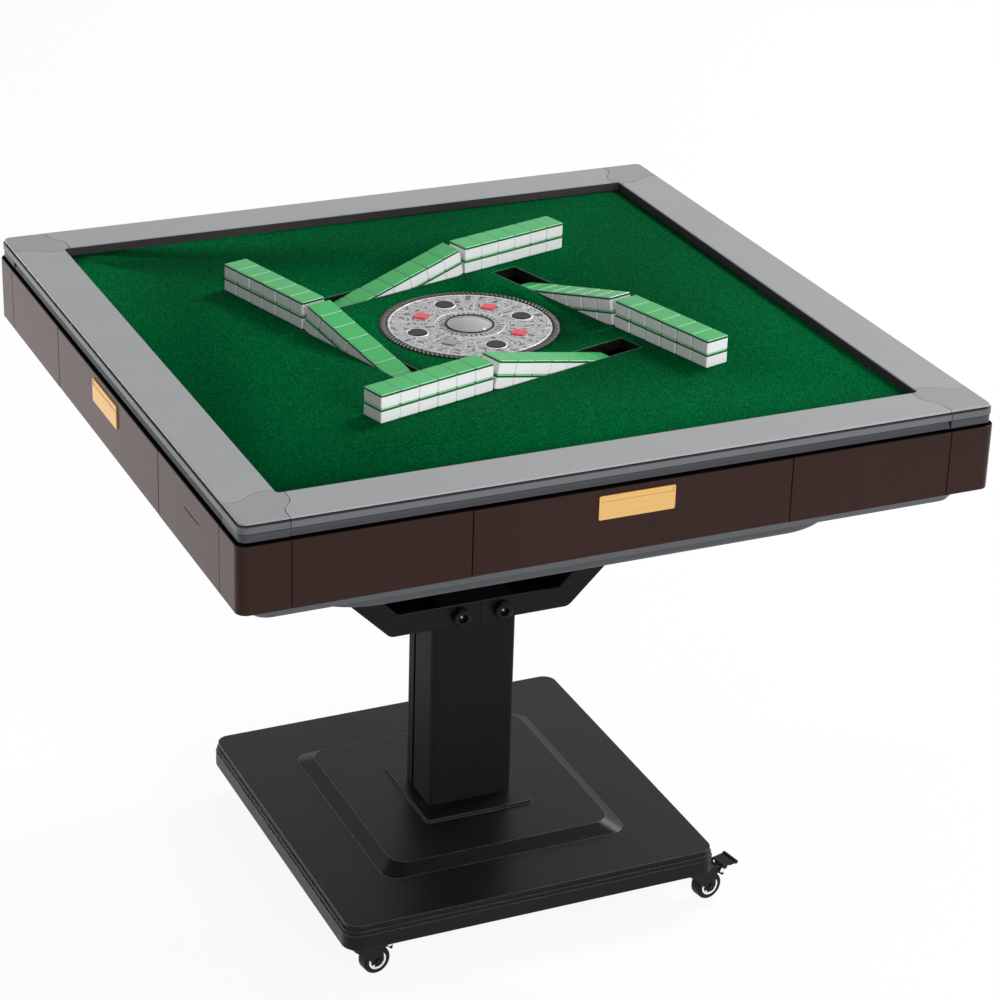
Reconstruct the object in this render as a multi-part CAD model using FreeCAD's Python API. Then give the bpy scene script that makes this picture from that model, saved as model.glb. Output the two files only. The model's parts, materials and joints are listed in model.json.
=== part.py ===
import FreeCAD, Part
import os
from math import atan2, cos, pi, radians, sin, sqrt, tan

# An automatic mahjong table with a drawer on each side, in millimetres.
# Origin on the floor below the table's centre, +X along the front side, +Y to the back, +Z up.

# Heights, stacked from the floor to the top of the frame
caster_height = 53.4
base_height = 33.7
tier_height = 11.0
foot_height = 3.8
column_height = 276.2
bracket_drop = 220.4
pan_depth = 54.8
tray_depth = 22.5
panel_height = 83.4
shadow_gap = 3.0

# Top frame: a lip, a groove, a proud band, then a cove and a skirt lip on the rails, from the top down.
# The corner blocks have a plain lower band in place of the cove.
frame_half = 475.0
rail_width = 65.0
frame_corner_radius = 9.0
lip_height = 1.8
lip_round = 1.4
groove_height = 2.5
groove_depth = 1.6
band_height = 7.6
band_out = 2.0
cove_height = 9.2
cove_depth = 4.0
cove_flare = 1.0
skirt_lip_height = 1.2
skirt_lip_out = 0.5
corner_band_step = 1.0
trim_depth = 6.0
opening_chamfer = 1.0
opening_corner_radius = 4.0
seam_inset = 8.0
corner_block_length = 56.7
seam_bend_in = 14.0
seam_bend_out = 11.0
seam_gap = 0.9

# Playing surface
cloth_recess = 12.0
cloth_thickness = 1.2
board_thickness = 12.0
board_tuck = 14.0
board_clearance = 0.4

# Tiles, and the four walls of them in a pinwheel round the table's centre
tile_length = 35.0
tile_width = 28.2
tile_thickness = 18.3
tile_gap = 0.26
tile_chamfer = 1.2
tile_layers = 2
flat_stacks = 6
ramp_stacks = 7
wall_angle = 15.8
wall_start_x = -222.0
wall_start_y = -251.0

# Lift ramps in the four mouths
ramp_drop_angle = 13.5
ramp_length = 235.5
ramp_thickness = 3.5
ramp_flange = 12.0
ramp_flange_thickness = 2.0
ramp_side_clearance = 0.5
ramp_pin_radius = 2.5
ramp_pin_clearance = 0.05
ramp_pin_depth = 6.0
ramp_pin_reach = 5.0
ramp_pin_end_gap = 1.0
ramp_knuckle_radius = 5.5
mouth_clearance = 1.25
mouth_end_clearance = 4.0
ramp_tile_clearance = 0.3

# Brown body: corner pieces, fixed panels and drawer fronts
body_overhang = 5.0
body_corner_radius = 13.0
panel_thickness = 10.0
panel_round = 1.0
panel_gap = 1.0
corner_length = 62.0
drawer_seam = 203.0
slit_length = 52.0
slit_height = 1.6
slit_depth = 4.0
slit_from_seam = 95.0
slit_below_top = 30.2

# Drawers and their pulls
drawer_corner_gap = 66.0
drawer_wall = 3.0
drawer_side_gap = 13.0
drawer_head_gap = 14.0
drawer_front_gap = 0.4
drawer_edge_gap = 0.5
drawer_slide_gap = 0.4
runner_thickness = 3.0
runner_shelf = 14.0
runner_guide_height = 22.0
pull_length = 97.0
pull_height = 30.0
pull_thickness = 2.0
pull_corner_radius = 2.0
pull_below_top = 7.8
pull_step_height = 8.0
pull_step_depth = 0.8

# Steel chassis inside the body
chassis_plate = 3.0
board_ledge = 26.0
floor_setback = 34.0
post_width = 14.0
post_depth = 30.0
post_gap = 2.0
pan_beam_width = 30.0
pan_beam_height = 22.0
pan_beam_end_gap = 38.0
pan_beam_from_arm_end = 29.0

# Grey underside: a shallow tray and the deeper pan that holds the mixing turntable
sheet = 2.5
tray_inset = 8.0
tray_slope = 12.0
tray_corner_radius = 20.0
pan_inset = 80.0
pan_corner_radius = 102.0
pan_edge_radius = 6.0

# Mixing turntable, its hollow-shaft motor and the console's guide tube
turntable_side_gap = 32.0
turntable_floor = 4.0
turntable_wall = 3.0
turntable_rim_height = 22.0
turntable_rib_height = 8.0
turntable_rib_width = 6.0
turntable_ribs = 4
turntable_gap = 0.5
hub_clearance = 2.0
motor_radius = 75.0
motor_height = 12.0
guide_wall = 4.0
guide_clearance = 0.08
guide_flange = 4.0
guide_flange_height = 3.0
guide_top_drop = 42.0

# Centre console
console_radius = 105.4
console_proud = 1.0
console_plate_thickness = 5.0
console_edge_chamfer = 0.5
console_skirt_gap = 4.0
console_skirt_wall = 4.0
console_cup_drop = 8.0
console_floor = 3.0
console_tube_radius = 25.0
console_tube_wall = 3.0
console_tube_end_gap = 10.0
console_lift_gap = 0.3
ring_width = 10.2
ring_height = 1.6
ring_slope = 1.2
ring_sleeve = 2.0
console_hole_clearance = 0.6
dome_radius = 28.6
dome_rise = 7.0
dome_wall = 2.0
dome_bezel_width = 3.2
dome_bezel_height = 1.2
dome_seat_depth = 3.0
dome_seat_clearance = 0.3
button_proud = 1.6
button_clearance = 0.5
button_flange = 2.0
button_flange_thickness = 2.0
button_flange_gap = 0.3
button_stem_radius = 4.0
button_travel = 2.0
round_button_radius = 12.0
round_button_from_edge = 31.9
round_button_turn = 3.0
square_button_side = 17.0
square_button_from_edge = 38.8
button_edge = 0.8

# Bracket: two trough-shaped arms bolted to the column's head
arm_width = 118.0
arm_plate = 4.0
arm_lip = 29.0
arm_foot = 127.0
arm_end_inset = 19.0
arm_seam = 0.6
arm_bend_radius = 14.0
arm_flange_length = 40.0
bolt_spacing = 59.0
bolt_height = 14.6
bolt_radius = 7.0
bolt_clearance = 0.15
bolt_reach = 30.0
bolt_end_gap = 1.0
bolt_head_radius = 11.8
bolt_head_height = 12.0
bolt_head_chamfer = 1.2
bolt_socket_width = 12.0
bolt_socket_depth = 7.0
flange_bolt_radius = 4.0
flange_bolt_head_radius = 8.0
flange_bolt_head_height = 6.0
flange_bolt_reach = 14.0
flange_bolt_spacing = 60.0

# Column: a steel post inside a front shell and a rear cover
column_width = 120.0
column_setback = 16.0
column_corner_radius = 8.0
column_wall = 2.5
column_split = 17.0
column_groove = 6.0
post_tube_width = 80.0
post_tube_depth = 64.0
post_tube_wall = 3.0
post_tube_radius = 6.0
post_clearance = 1.0
head_width = 104.0
head_height = 22.0

# Base cover with its step, tier and foot, and the steel frame inside it
base_half = 263.5
base_corner_radius = 22.0
base_step_height = 7.8
base_step_inset = 3.5
base_ledge_height = 5.5
base_ledge_inset = 1.5
base_wall = 3.0
tier_half = 174.5
tier_slope = 17.5
tier_corner_radius = 24.0
foot_half = 77.4
foot_slope = 1.5
foot_corner_radius = 8.0
beam_width = 40.0
brace_width = 20.0
beam_end_gap = 10.0
gusset_thickness = 5.0
gusset_radius = 12.5

# Casters: swivel fork with a riveted axle, wheel, and a brake pedal on the two front ones
caster_inset = 23.5
caster_yaw = 10.0
caster_trail = 24.0
wheel_radius = 19.25
wheel_width = 18.0
wheel_round = 3.0
wheel_dish_radius = 13.0
wheel_dish_depth = 2.0
wheel_hub_radius = 6.5
axle_radius = 3.0
axle_clearance = 0.08
axle_head_radius = 4.6
axle_head_height = 1.6
fork_plate = 2.0
fork_gap = 0.6
fork_bridge = 3.0
fork_head_gap = 7.0
fork_front = 12.0
fork_boss_radius = 7.5
swivel_radius = 14.0
swivel_gap = 0.4
kingpin_radius = 4.0
kingpin_clearance = 0.08
kingpin_head_radius = 7.0
kingpin_head_height = 3.0
pedal_pin_x = 39.0
pedal_pin_z = 42.0
pedal_pin_radius = 2.2
pedal_pin_clearance = 0.08
pedal_ear_gap = 0.4
pedal_ear = 1.6
pedal_ear_radius = 4.6
pedal_plate = 2.4
pedal_end_x = 63.0
pedal_end_z = 47.0
pedal_bar_radius = 3.0
pedal_press_angle = 12.0
pedal_shoe = 3.0
pedal_shoe_drop = 12.0
brake_gap = 0.5

# Mains inlet in the pan's back wall
inlet_from_corner = 93.0
inlet_width = 28.0
inlet_height = 22.0
inlet_depth = 24.0
inlet_wall = 2.5
inlet_flange = 5.0
inlet_flange_thickness = 2.0
inlet_clearance = 0.3

# Levels that follow from the heights
z_base = caster_height
z_base_top = z_base + base_height
z_tier = z_base_top + tier_height
z_foot = z_tier + foot_height
z_trough = z_foot + column_height
z_pan = z_trough + bracket_drop
z_tray = z_pan + pan_depth
z_panel = z_tray + tray_depth
z_panel_top = z_panel + panel_height
z_rail = z_panel_top + shadow_gap
rail_height = lip_height + groove_height + band_height + cove_height + skirt_lip_height
z_frame = z_rail + rail_height
z_cloth = z_frame - cloth_recess
z_board = z_cloth - cloth_thickness
z_board_bottom = z_board - board_thickness
z_pan_floor = z_pan + sheet
z_turntable = z_pan_floor + motor_height + turntable_gap
z_chassis_floor = z_panel + chassis_plate

# Plan sizes that follow
opening_half = frame_half - rail_width
seam_inner = opening_half - seam_inset
seam_outer = frame_half - corner_block_length
body_half = frame_half + body_overhang
corner_seam = body_half - corner_length
slit_from_centre = corner_seam - slit_from_seam
chassis_half = body_half - panel_thickness
board_half = opening_half + board_tuck
tile_pitch = tile_width + tile_gap
flat_length = flat_stacks * tile_pitch
stack_height = tile_layers * tile_thickness
ramp_pin_u = flat_length + ramp_knuckle_radius + ramp_tile_clearance
mouth_start = ramp_pin_u - ramp_knuckle_radius - mouth_clearance
mouth_end = ramp_pin_u - ramp_knuckle_radius + ramp_length + mouth_end_clearance
ring_radius = console_radius + ring_width
console_hole_radius = console_radius + ring_sleeve + console_hole_clearance
console_skirt_radius = console_hole_radius - console_skirt_gap
round_button_ring = console_radius - round_button_from_edge
square_button_ring = console_radius - square_button_from_edge
guide_bore = console_tube_radius + guide_clearance
guide_radius = guide_bore + guide_wall
drawer_half = drawer_seam - drawer_side_gap
drawer_depth = chassis_half - drawer_half - drawer_corner_gap
chassis_inner_half = board_half - board_ledge
floor_opening_half = drawer_half + drawer_corner_gap + floor_setback
tray_top_half = chassis_half - tray_inset
tray_bottom_half = tray_top_half - tray_slope
pan_half = tray_bottom_half - pan_inset
arm_reach = pan_half - arm_end_inset
column_depth = arm_width - 2 * column_setback
pan_beam_x = arm_reach - pan_beam_from_arm_end
pan_beam_half_length = pan_half - pan_beam_end_gap
turntable_radius = pan_beam_x - pan_beam_width / 2 - turntable_side_gap
inlet_x = pan_corner_radius + inlet_from_corner - pan_half
beam_outer_half = base_half - beam_end_gap
caster_x = base_half - caster_inset
caster_y = base_half - caster_inset
bolt_hole_radius = bolt_radius + bolt_clearance
flange_bolt_hole_radius = flange_bolt_radius + bolt_clearance

V = FreeCAD.Vector
CENTRE = V(0, 0, 0)
UP = V(0, 0, 1)
NEAR = 0.01
ALONG_Y = V(0, 1, 0)
SIDES = {"front": 0, "right": 90, "back": 180, "left": 270}
CORNERS = {"front_left": (-1, -1), "front_right": (1, -1), "back_right": (1, 1), "back_left": (-1, 1)}


def box(x0, x1, y0, y1, z0, z1):
    """A box between two opposite corners."""
    return Part.makeBox(x1 - x0, y1 - y0, z1 - z0, V(x0, y0, z0))


def square_block(half, z0, z1):
    """A square block about the centre."""
    return box(-half, half, -half, half, z0, z1)


def cylinder(radius, z0, z1, x=0.0, y=0.0):
    """An upright cylinder."""
    return Part.makeCylinder(radius, z1 - z0, V(x, y, z0))


def cross_cylinder(radius, x, y0, y1, z):
    """A cylinder along Y."""
    return Part.makeCylinder(radius, y1 - y0, V(x, y0, z), ALONG_Y)


def tube(radius, bore, z0, z1):
    """An upright tube about the centre."""
    return cylinder(radius, z0, z1).cut(cylinder(bore, z0, z1))


def rounded_wire(half_x, half_y, radius, z):
    """A rectangle's outline about the centre, with round corners."""
    edges = []
    flat_x = half_x - radius
    flat_y = half_y - radius
    diagonal = radius / sqrt(2)
    for turn in range(4):
        across, along = (flat_x, flat_y) if turn % 2 == 0 else (flat_y, flat_x)
        side = Part.makeLine(V(across + radius, -along, z), V(across + radius, along, z))
        bend = Part.Arc(
            V(across + radius, along, z),
            V(across + diagonal, along + diagonal, z),
            V(across, along + radius, z),
        ).toShape()
        for edge in (side, bend):
            edge.rotate(CENTRE, UP, 90 * turn)
            edges.append(edge)
    return Part.Wire(edges)


def rounded_plate(half_x, half_y, radius, z0, z1):
    """A rectangular plate with round corners."""
    return Part.Face(rounded_wire(half_x, half_y, radius, z0)).extrude(V(0, 0, z1 - z0))


def rounded_taper(half0, radius0, z0, half1, radius1, z1):
    """A square block with round corners whose sides slope."""
    low = rounded_wire(half0, half0, radius0, z0)
    high = rounded_wire(half1, half1, radius1, z1)
    return Part.makeLoft([low, high], True, True)


def profile(points, y0, y1):
    """A closed outline of (x, z) points, thickened along Y."""
    corners = [V(x, y0, z) for x, z in points]
    face = Part.Face(Part.makePolygon(corners + corners[:1]))
    return face.extrude(V(0, y1 - y0, 0))


def fuse(pieces):
    """One solid from pieces that meet."""
    return pieces[0].multiFuse(pieces[1:]).removeSplitter()


def turned(shape, degrees):
    """A copy turned about the table's upright axis."""
    copy = shape.copy()
    copy.rotate(CENTRE, UP, degrees)
    return copy


def moved(shape, x, y, z=0.0):
    """A copy moved to another place."""
    copy = shape.copy()
    copy.translate(V(x, y, z))
    return copy


def on_wall(shape):
    """A copy carried from a wall's own (u, v, z) axes to the front wall of tiles."""
    return moved(turned(shape, wall_angle), wall_start_x, wall_start_y)


def round_edges(shape, radius, chosen):
    """The shape with the edges that pass the test rounded."""
    return shape.makeFillet(radius, [edge for edge in shape.Edges if chosen(edge.BoundBox)])


def save(name, *solids):
    """Writes one node, made of one or more separate solids."""
    shape = solids[0] if len(solids) == 1 else Part.makeCompound(list(solids))
    shape.exportStep("parts/" + name + ".step")
    print(name, len(shape.Solids), "solids", round(shape.Volume / 1000, 1), "cm3", shape.isValid())


# Base and column


def base_cover():
    z_step = z_base_top - base_step_height
    step_half = base_half - base_step_inset
    step_radius = base_corner_radius - base_step_inset
    tier_top = tier_half - tier_slope
    z_ledge = z_step - base_ledge_height
    ledge_half = base_half - base_ledge_inset
    ledge_radius = base_corner_radius - base_ledge_inset
    outer = fuse([
        rounded_plate(base_half, base_half, base_corner_radius, z_base, z_ledge),
        rounded_plate(ledge_half, ledge_half, ledge_radius, z_ledge, z_step),
        rounded_plate(step_half, step_half, step_radius, z_step, z_base_top),
        rounded_taper(tier_half, tier_corner_radius, z_base_top, tier_top, tier_corner_radius, z_tier),
        rounded_taper(
            foot_half + foot_slope, foot_corner_radius, z_tier,
            foot_half, foot_corner_radius, z_foot,
        ),
    ])
    inner_half = step_half - base_wall
    inner_radius = step_radius - base_wall
    hollow = rounded_plate(inner_half, inner_half, inner_radius, z_base, z_base_top - base_wall)
    post_hole = box(
        -post_tube_width / 2 - post_clearance, post_tube_width / 2 + post_clearance,
        -post_tube_depth / 2 - post_clearance, post_tube_depth / 2 + post_clearance,
        z_base, z_foot,
    )
    return outer.cut(hollow).cut(post_hole)


def base_frame():
    z_low = z_base
    z_high = z_base_top - base_wall
    half_beam = beam_width / 2
    beam = box(-beam_outer_half, beam_outer_half, -half_beam, half_beam, z_low, z_high)
    diagonal = caster_x * sqrt(2)
    brace = box(-diagonal, diagonal, -brace_width / 2, brace_width / 2, z_low, z_high)
    braces = [turned(brace, 45), turned(brace, -45)]
    z_gusset = z_low + gusset_thickness
    gusset = cylinder(gusset_radius, z_low, z_gusset)
    gussets = []
    holes = []
    for side_x, side_y in CORNERS.values():
        x = side_x * caster_x
        y = side_y * caster_y
        gussets.append(moved(gusset, x, y))
        holes.append(cylinder(kingpin_radius + kingpin_clearance, z_low, z_high, x, y))
        head_room = kingpin_head_radius + swivel_gap
        holes.append(cylinder(head_room, z_gusset, z_high, x, y))
    frame = fuse([beam, turned(beam, 90)] + braces + gussets)
    return frame.cut(Part.makeCompound(holes))


def column_post():
    z_floor = z_base_top - base_wall
    z_head = z_trough + arm_plate
    outer = rounded_plate(post_tube_width / 2, post_tube_depth / 2, post_tube_radius, z_floor, z_head)
    bore = rounded_plate(
        post_tube_width / 2 - post_tube_wall, post_tube_depth / 2 - post_tube_wall,
        post_tube_radius - post_tube_wall, z_floor, z_head,
    )
    inner_width = arm_width / 2 - arm_plate
    head = box(-head_width / 2, head_width / 2, -inner_width, inner_width, z_head, z_head + head_height)
    post = fuse([outer.cut(bore), head])
    for x in (-bolt_spacing / 2, bolt_spacing / 2):
        for sign in (-1, 1):
            ends = sorted((sign * inner_width, sign * (arm_width / 2 - bolt_reach - bolt_end_gap)))
            post = post.cut(cross_cylinder(bolt_hole_radius, x, ends[0], ends[1], z_trough + bolt_height))
    return post


def column_skin():
    """The front shell and the rear cover, parted by an upright groove."""
    outer = rounded_plate(column_width / 2, column_depth / 2, column_corner_radius, z_foot, z_trough)
    inner = rounded_plate(
        column_width / 2 - column_wall, column_depth / 2 - column_wall,
        column_corner_radius - column_wall, z_foot, z_trough,
    )
    skin = outer.cut(inner)
    reach = column_width
    front = skin.common(box(-reach, reach, -reach, column_split - column_groove / 2, z_foot, z_trough))
    rear = skin.common(box(-reach, reach, column_split + column_groove / 2, reach, z_foot, z_trough))
    return front, rear


def bracket_arm():
    """The right-hand arm: a trough that runs out from the column and up to the pan."""
    half = arm_width / 2
    run = (arm_reach - arm_foot) / bracket_drop
    bend = tan(atan2(1, run) / 2)
    inner_bend = arm_foot - arm_lip * bend
    lip_top = z_trough + arm_lip
    outline = [
        (arm_seam / 2, z_trough),
        (arm_foot, z_trough),
        (arm_reach, z_pan),
        (inner_bend + (z_pan - lip_top) * run, z_pan),
        (inner_bend, lip_top),
        (arm_seam / 2, lip_top),
    ]
    floor_bend = arm_foot - arm_plate * bend
    floor_top = z_trough + arm_plate
    channel = [
        (0, floor_top),
        (floor_bend, floor_top),
        (floor_bend + (z_pan - floor_top) * run, z_pan),
        (inner_bend + (z_pan - lip_top) * run - arm_lip, z_pan),
        (inner_bend - arm_lip, lip_top),
        (0, lip_top),
    ]
    outside = profile(outline, -half, half)
    outside = round_edges(
        outside, arm_bend_radius,
        lambda b: b.ZMax < z_trough + NEAR and abs(b.XMax - arm_foot) < NEAR and b.XLength < NEAR,
    )
    inside = profile(channel, -half + arm_plate, half - arm_plate)
    inside = round_edges(
        inside, arm_bend_radius - arm_plate,
        lambda b: b.ZMax < floor_top + NEAR and abs(b.XMax - floor_bend) < NEAR and b.XLength < NEAR,
    )
    trough = outside.cut(inside)
    flange_start = inner_bend + (z_pan - lip_top) * run - arm_flange_length
    flange_end = arm_reach - arm_plate * run
    flange = box(flange_start, flange_end, -half, half, z_pan - arm_plate, z_pan)
    arm = fuse([trough, flange])
    post_hole = box(
        -post_tube_width, post_tube_width / 2 + post_clearance,
        -post_tube_depth / 2 - post_clearance, post_tube_depth / 2 + post_clearance,
        z_trough, floor_top,
    )
    bolt_hole = cross_cylinder(bolt_hole_radius, bolt_spacing / 2, -half, half, z_trough + bolt_height)
    arm = arm.cut(post_hole).cut(bolt_hole)
    for y in (-flange_bolt_spacing / 2, flange_bolt_spacing / 2):
        arm = arm.cut(cylinder(flange_bolt_hole_radius, z_pan - arm_plate, z_pan, pan_beam_x, y))
    return arm


def hexagon(width, x, y, z, depth):
    """A six-sided prism along +Y, given by its width across the flats."""
    corner = width / sqrt(3)
    points = [(x + corner * cos(pi / 3 * n), z + corner * sin(pi / 3 * n)) for n in range(6)]
    return profile(points, y, y + depth)


def bracket_bolts():
    """Socket-head bolts through the cheeks, and flange bolts up into the pan's beams."""
    face = -arm_width / 2
    z = z_trough + bolt_height
    shank = cross_cylinder(bolt_radius, 0, face, face + bolt_reach, z)
    head = cross_cylinder(bolt_head_radius, 0, face - bolt_head_height, face, z)
    front_rim = face - bolt_head_height
    rim_edges = [edge for edge in head.Edges if edge.BoundBox.YMax < front_rim + NEAR]
    head = head.makeChamfer(bolt_head_chamfer, rim_edges)
    socket = hexagon(bolt_socket_width, 0, front_rim, z, bolt_socket_depth)
    bolt = fuse([shank, head]).cut(socket)
    bolts = []
    for x in (-bolt_spacing / 2, bolt_spacing / 2):
        bolts.append(moved(bolt, x, 0))
        bolts.append(moved(turned(bolt, 180), x, 0))
    z_flange = z_pan - arm_plate
    stud = fuse([
        cylinder(flange_bolt_radius, z_flange, z_flange + flange_bolt_reach),
        cylinder(flange_bolt_head_radius, z_flange - flange_bolt_head_height, z_flange),
    ])
    for x in (-pan_beam_x, pan_beam_x):
        for y in (-flange_bolt_spacing / 2, flange_bolt_spacing / 2):
            bolts.append(moved(stud, x, y))
    return bolts


# Casters


def at_caster(shape, x, y):
    """A copy turned to the caster's heading and moved to its kingpin."""
    return moved(turned(shape, caster_yaw), x, y)


def caster_fork(x, y, braked):
    """A trailing swivel fork with its kingpin, axle and brake pin."""
    inner = wheel_width / 2 + fork_gap
    outer = inner + fork_plate
    z_bridge = 2 * wheel_radius + fork_head_gap
    z_swivel = z_base - swivel_gap
    z_gusset = z_base + gusset_thickness
    rear = caster_trail + fork_boss_radius
    cheek = [
        (-fork_front, z_bridge + fork_bridge),
        (-fork_front, z_bridge),
        (caster_trail - fork_boss_radius, wheel_radius),
        (caster_trail, wheel_radius - fork_boss_radius),
        (caster_trail + fork_boss_radius, wheel_radius),
        (rear, z_bridge),
        (rear, z_bridge + fork_bridge),
    ]
    pieces = [
        box(-fork_front, rear, -outer, outer, z_bridge, z_bridge + fork_bridge),
        cylinder(swivel_radius, z_bridge, z_swivel),
        cylinder(kingpin_radius, z_swivel, z_gusset + swivel_gap),
        cylinder(kingpin_head_radius, z_gusset + swivel_gap, z_gusset + swivel_gap + kingpin_head_height),
        cross_cylinder(axle_radius, caster_trail, -outer, outer, wheel_radius),
    ]
    ear_reach = pedal_pin_x + pedal_ear_radius
    ear = [
        (rear - fork_boss_radius, z_bridge + fork_bridge),
        (rear - fork_boss_radius, z_bridge - fork_boss_radius),
        (pedal_pin_x, pedal_pin_z - pedal_ear_radius),
        (ear_reach, pedal_pin_z),
        (pedal_pin_x, pedal_pin_z + pedal_ear_radius),
        (rear, z_bridge + fork_bridge),
    ]
    for sign in (-1, 1):
        near, far = sorted((sign * inner, sign * outer))
        pieces.append(profile(cheek, near, far))
        head_near, head_far = sorted((sign * outer, sign * (outer + axle_head_height)))
        pieces.append(cross_cylinder(axle_head_radius, caster_trail, head_near, head_far, wheel_radius))
        if braked:
            pieces.append(profile(ear, near, far))
    if braked:
        pin_half = outer + pedal_ear_gap + pedal_ear + axle_head_height
        pieces.append(cross_cylinder(pedal_pin_radius, pedal_pin_x, -pin_half, pin_half, pedal_pin_z))
    return at_caster(fuse(pieces), x, y)


def caster_wheel(x, y):
    """A wheel with a rounded tread and a shallow dish on each side."""
    half = wheel_width / 2
    wheel = cross_cylinder(wheel_radius, 0, -half, half, wheel_radius)
    wheel = wheel.makeFillet(wheel_round, [e for e in wheel.Edges if e.Curve.TypeId == "Part::GeomCircle"])
    for y0 in (-half, half - wheel_dish_depth):
        dish = cross_cylinder(wheel_dish_radius, 0, y0, y0 + wheel_dish_depth, wheel_radius)
        hub = cross_cylinder(wheel_hub_radius, 0, y0, y0 + wheel_dish_depth, wheel_radius)
        wheel = wheel.cut(dish.cut(hub))
    wheel = wheel.cut(cross_cylinder(axle_radius + axle_clearance, 0, -half, half, wheel_radius))
    return at_caster(moved(wheel, caster_trail, 0), x, y)


def shoe_offset():
    """How far behind the pin the shoe stands, so that it just clears the wheel when pressed."""
    press = radians(pedal_press_angle)
    x = pedal_pin_x - caster_trail - pedal_shoe_drop * sin(press)
    z = pedal_pin_z - wheel_radius - pedal_shoe_drop * cos(press)
    along = x * cos(press) - z * sin(press)
    across = x * sin(press) + z * cos(press)
    return sqrt((wheel_radius + brake_gap) ** 2 - across ** 2) - along


def brake_pedal(x, y):
    """A pedal plate on two ears, with a foot bar across its end and a brake shoe below."""
    inner = wheel_width / 2 + fork_gap + fork_plate + pedal_ear_gap
    outer = inner + pedal_ear
    ear_top = pedal_pin_z + pedal_ear_radius
    tread_start = pedal_pin_x + pedal_ear_radius
    tread = [
        (tread_start, ear_top - pedal_plate),
        (pedal_end_x, pedal_end_z - pedal_plate / 2),
        (pedal_end_x, pedal_end_z + pedal_plate / 2),
        (tread_start, ear_top),
    ]
    pieces = [
        profile(tread, -outer, outer),
        cross_cylinder(pedal_bar_radius, pedal_end_x, -outer, outer, pedal_end_z),
    ]
    ear = [
        (pedal_pin_x - pedal_ear_radius, pedal_pin_z),
        (pedal_pin_x, pedal_pin_z - pedal_ear_radius),
        (pedal_pin_x + pedal_ear_radius, pedal_pin_z),
        (pedal_end_x, pedal_end_z),
        (tread_start, ear_top),
        (pedal_pin_x, ear_top),
    ]
    for sign in (-1, 1):
        near, far = sorted((sign * inner, sign * outer))
        pieces.append(profile(ear, near, far))
    shoe_x = pedal_pin_x + shoe_offset()
    shoe_half = wheel_width / 2 - fork_gap
    z_shoe = pedal_pin_z - pedal_shoe_drop
    z_tread = ear_top - pedal_plate / 2
    pieces.append(box(shoe_x, shoe_x + pedal_shoe, -shoe_half, shoe_half, z_shoe, z_tread))
    hole_radius = pedal_pin_radius + pedal_pin_clearance
    hole = cross_cylinder(hole_radius, pedal_pin_x, -outer, outer, pedal_pin_z)
    return at_caster(fuse(pieces).cut(hole), x, y)


# Underside and chassis


def mixing_pan():
    """The deep pan, open at the top, with its mains inlet's cut-out and the beam bolts' holes."""
    outer = rounded_plate(pan_half, pan_half, pan_corner_radius, z_pan, z_tray)
    outer = round_edges(outer, pan_edge_radius, lambda b: b.ZMax < z_pan + NEAR)
    inner_half = pan_half - sheet
    inner = rounded_plate(inner_half, inner_half, pan_corner_radius - sheet, z_pan_floor, z_tray)
    inner = round_edges(inner, pan_edge_radius - sheet, lambda b: b.ZMax < z_pan_floor + NEAR)
    pan = outer.cut(inner)
    for x in (-pan_beam_x, pan_beam_x):
        for y in (-flange_bolt_spacing / 2, flange_bolt_spacing / 2):
            pan = pan.cut(cylinder(flange_bolt_hole_radius, z_pan, z_pan_floor, x, y))
    z_inlet = (z_pan + z_tray) / 2
    cut_half_width = inlet_width / 2 + inlet_clearance
    cut_half_height = inlet_height / 2 + inlet_clearance
    return pan.cut(box(
        inlet_x - cut_half_width, inlet_x + cut_half_width, pan_half - 2 * sheet, pan_half + sheet,
        z_inlet - cut_half_height, z_inlet + cut_half_height,
    ))


def power_inlet():
    """A mains socket: a flange outside the pan's wall and a hollow body inside it."""
    z_inlet = (z_pan + z_tray) / 2
    half_width = inlet_width / 2
    half_height = inlet_height / 2
    face = pan_half + inlet_flange_thickness
    body = box(
        inlet_x - half_width, inlet_x + half_width, pan_half - inlet_depth, pan_half,
        z_inlet - half_height, z_inlet + half_height,
    )
    flange = box(
        inlet_x - half_width - inlet_flange, inlet_x + half_width + inlet_flange, pan_half, face,
        z_inlet - half_height - inlet_flange, z_inlet + half_height + inlet_flange,
    )
    well = box(
        inlet_x - half_width + inlet_wall, inlet_x + half_width - inlet_wall,
        pan_half - inlet_depth + inlet_wall, face,
        z_inlet - half_height + inlet_wall, z_inlet + half_height - inlet_wall,
    )
    return fuse([body, flange]).cut(well)


def underside_tray():
    """The shallow tray with sloping sides, open above and round the pan."""
    outer = rounded_taper(
        tray_bottom_half, tray_corner_radius, z_tray,
        tray_top_half, tray_corner_radius, z_panel,
    )
    inner_radius = tray_corner_radius - sheet
    inner = rounded_taper(
        tray_bottom_half - sheet, inner_radius, z_tray + sheet,
        tray_top_half - sheet, inner_radius, z_panel,
    )
    mouth_half = pan_half - sheet
    mouth = rounded_plate(mouth_half, mouth_half, pan_corner_radius - sheet, z_tray, z_tray + sheet)
    return outer.cut(inner).cut(mouth)


def ring_bars(outer, inner, z0, z1):
    """Four bars that make a square ring."""
    return [turned(box(-outer, inner, -outer, -inner, z0, z1), degrees) for degrees in SIDES.values()]


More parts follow.
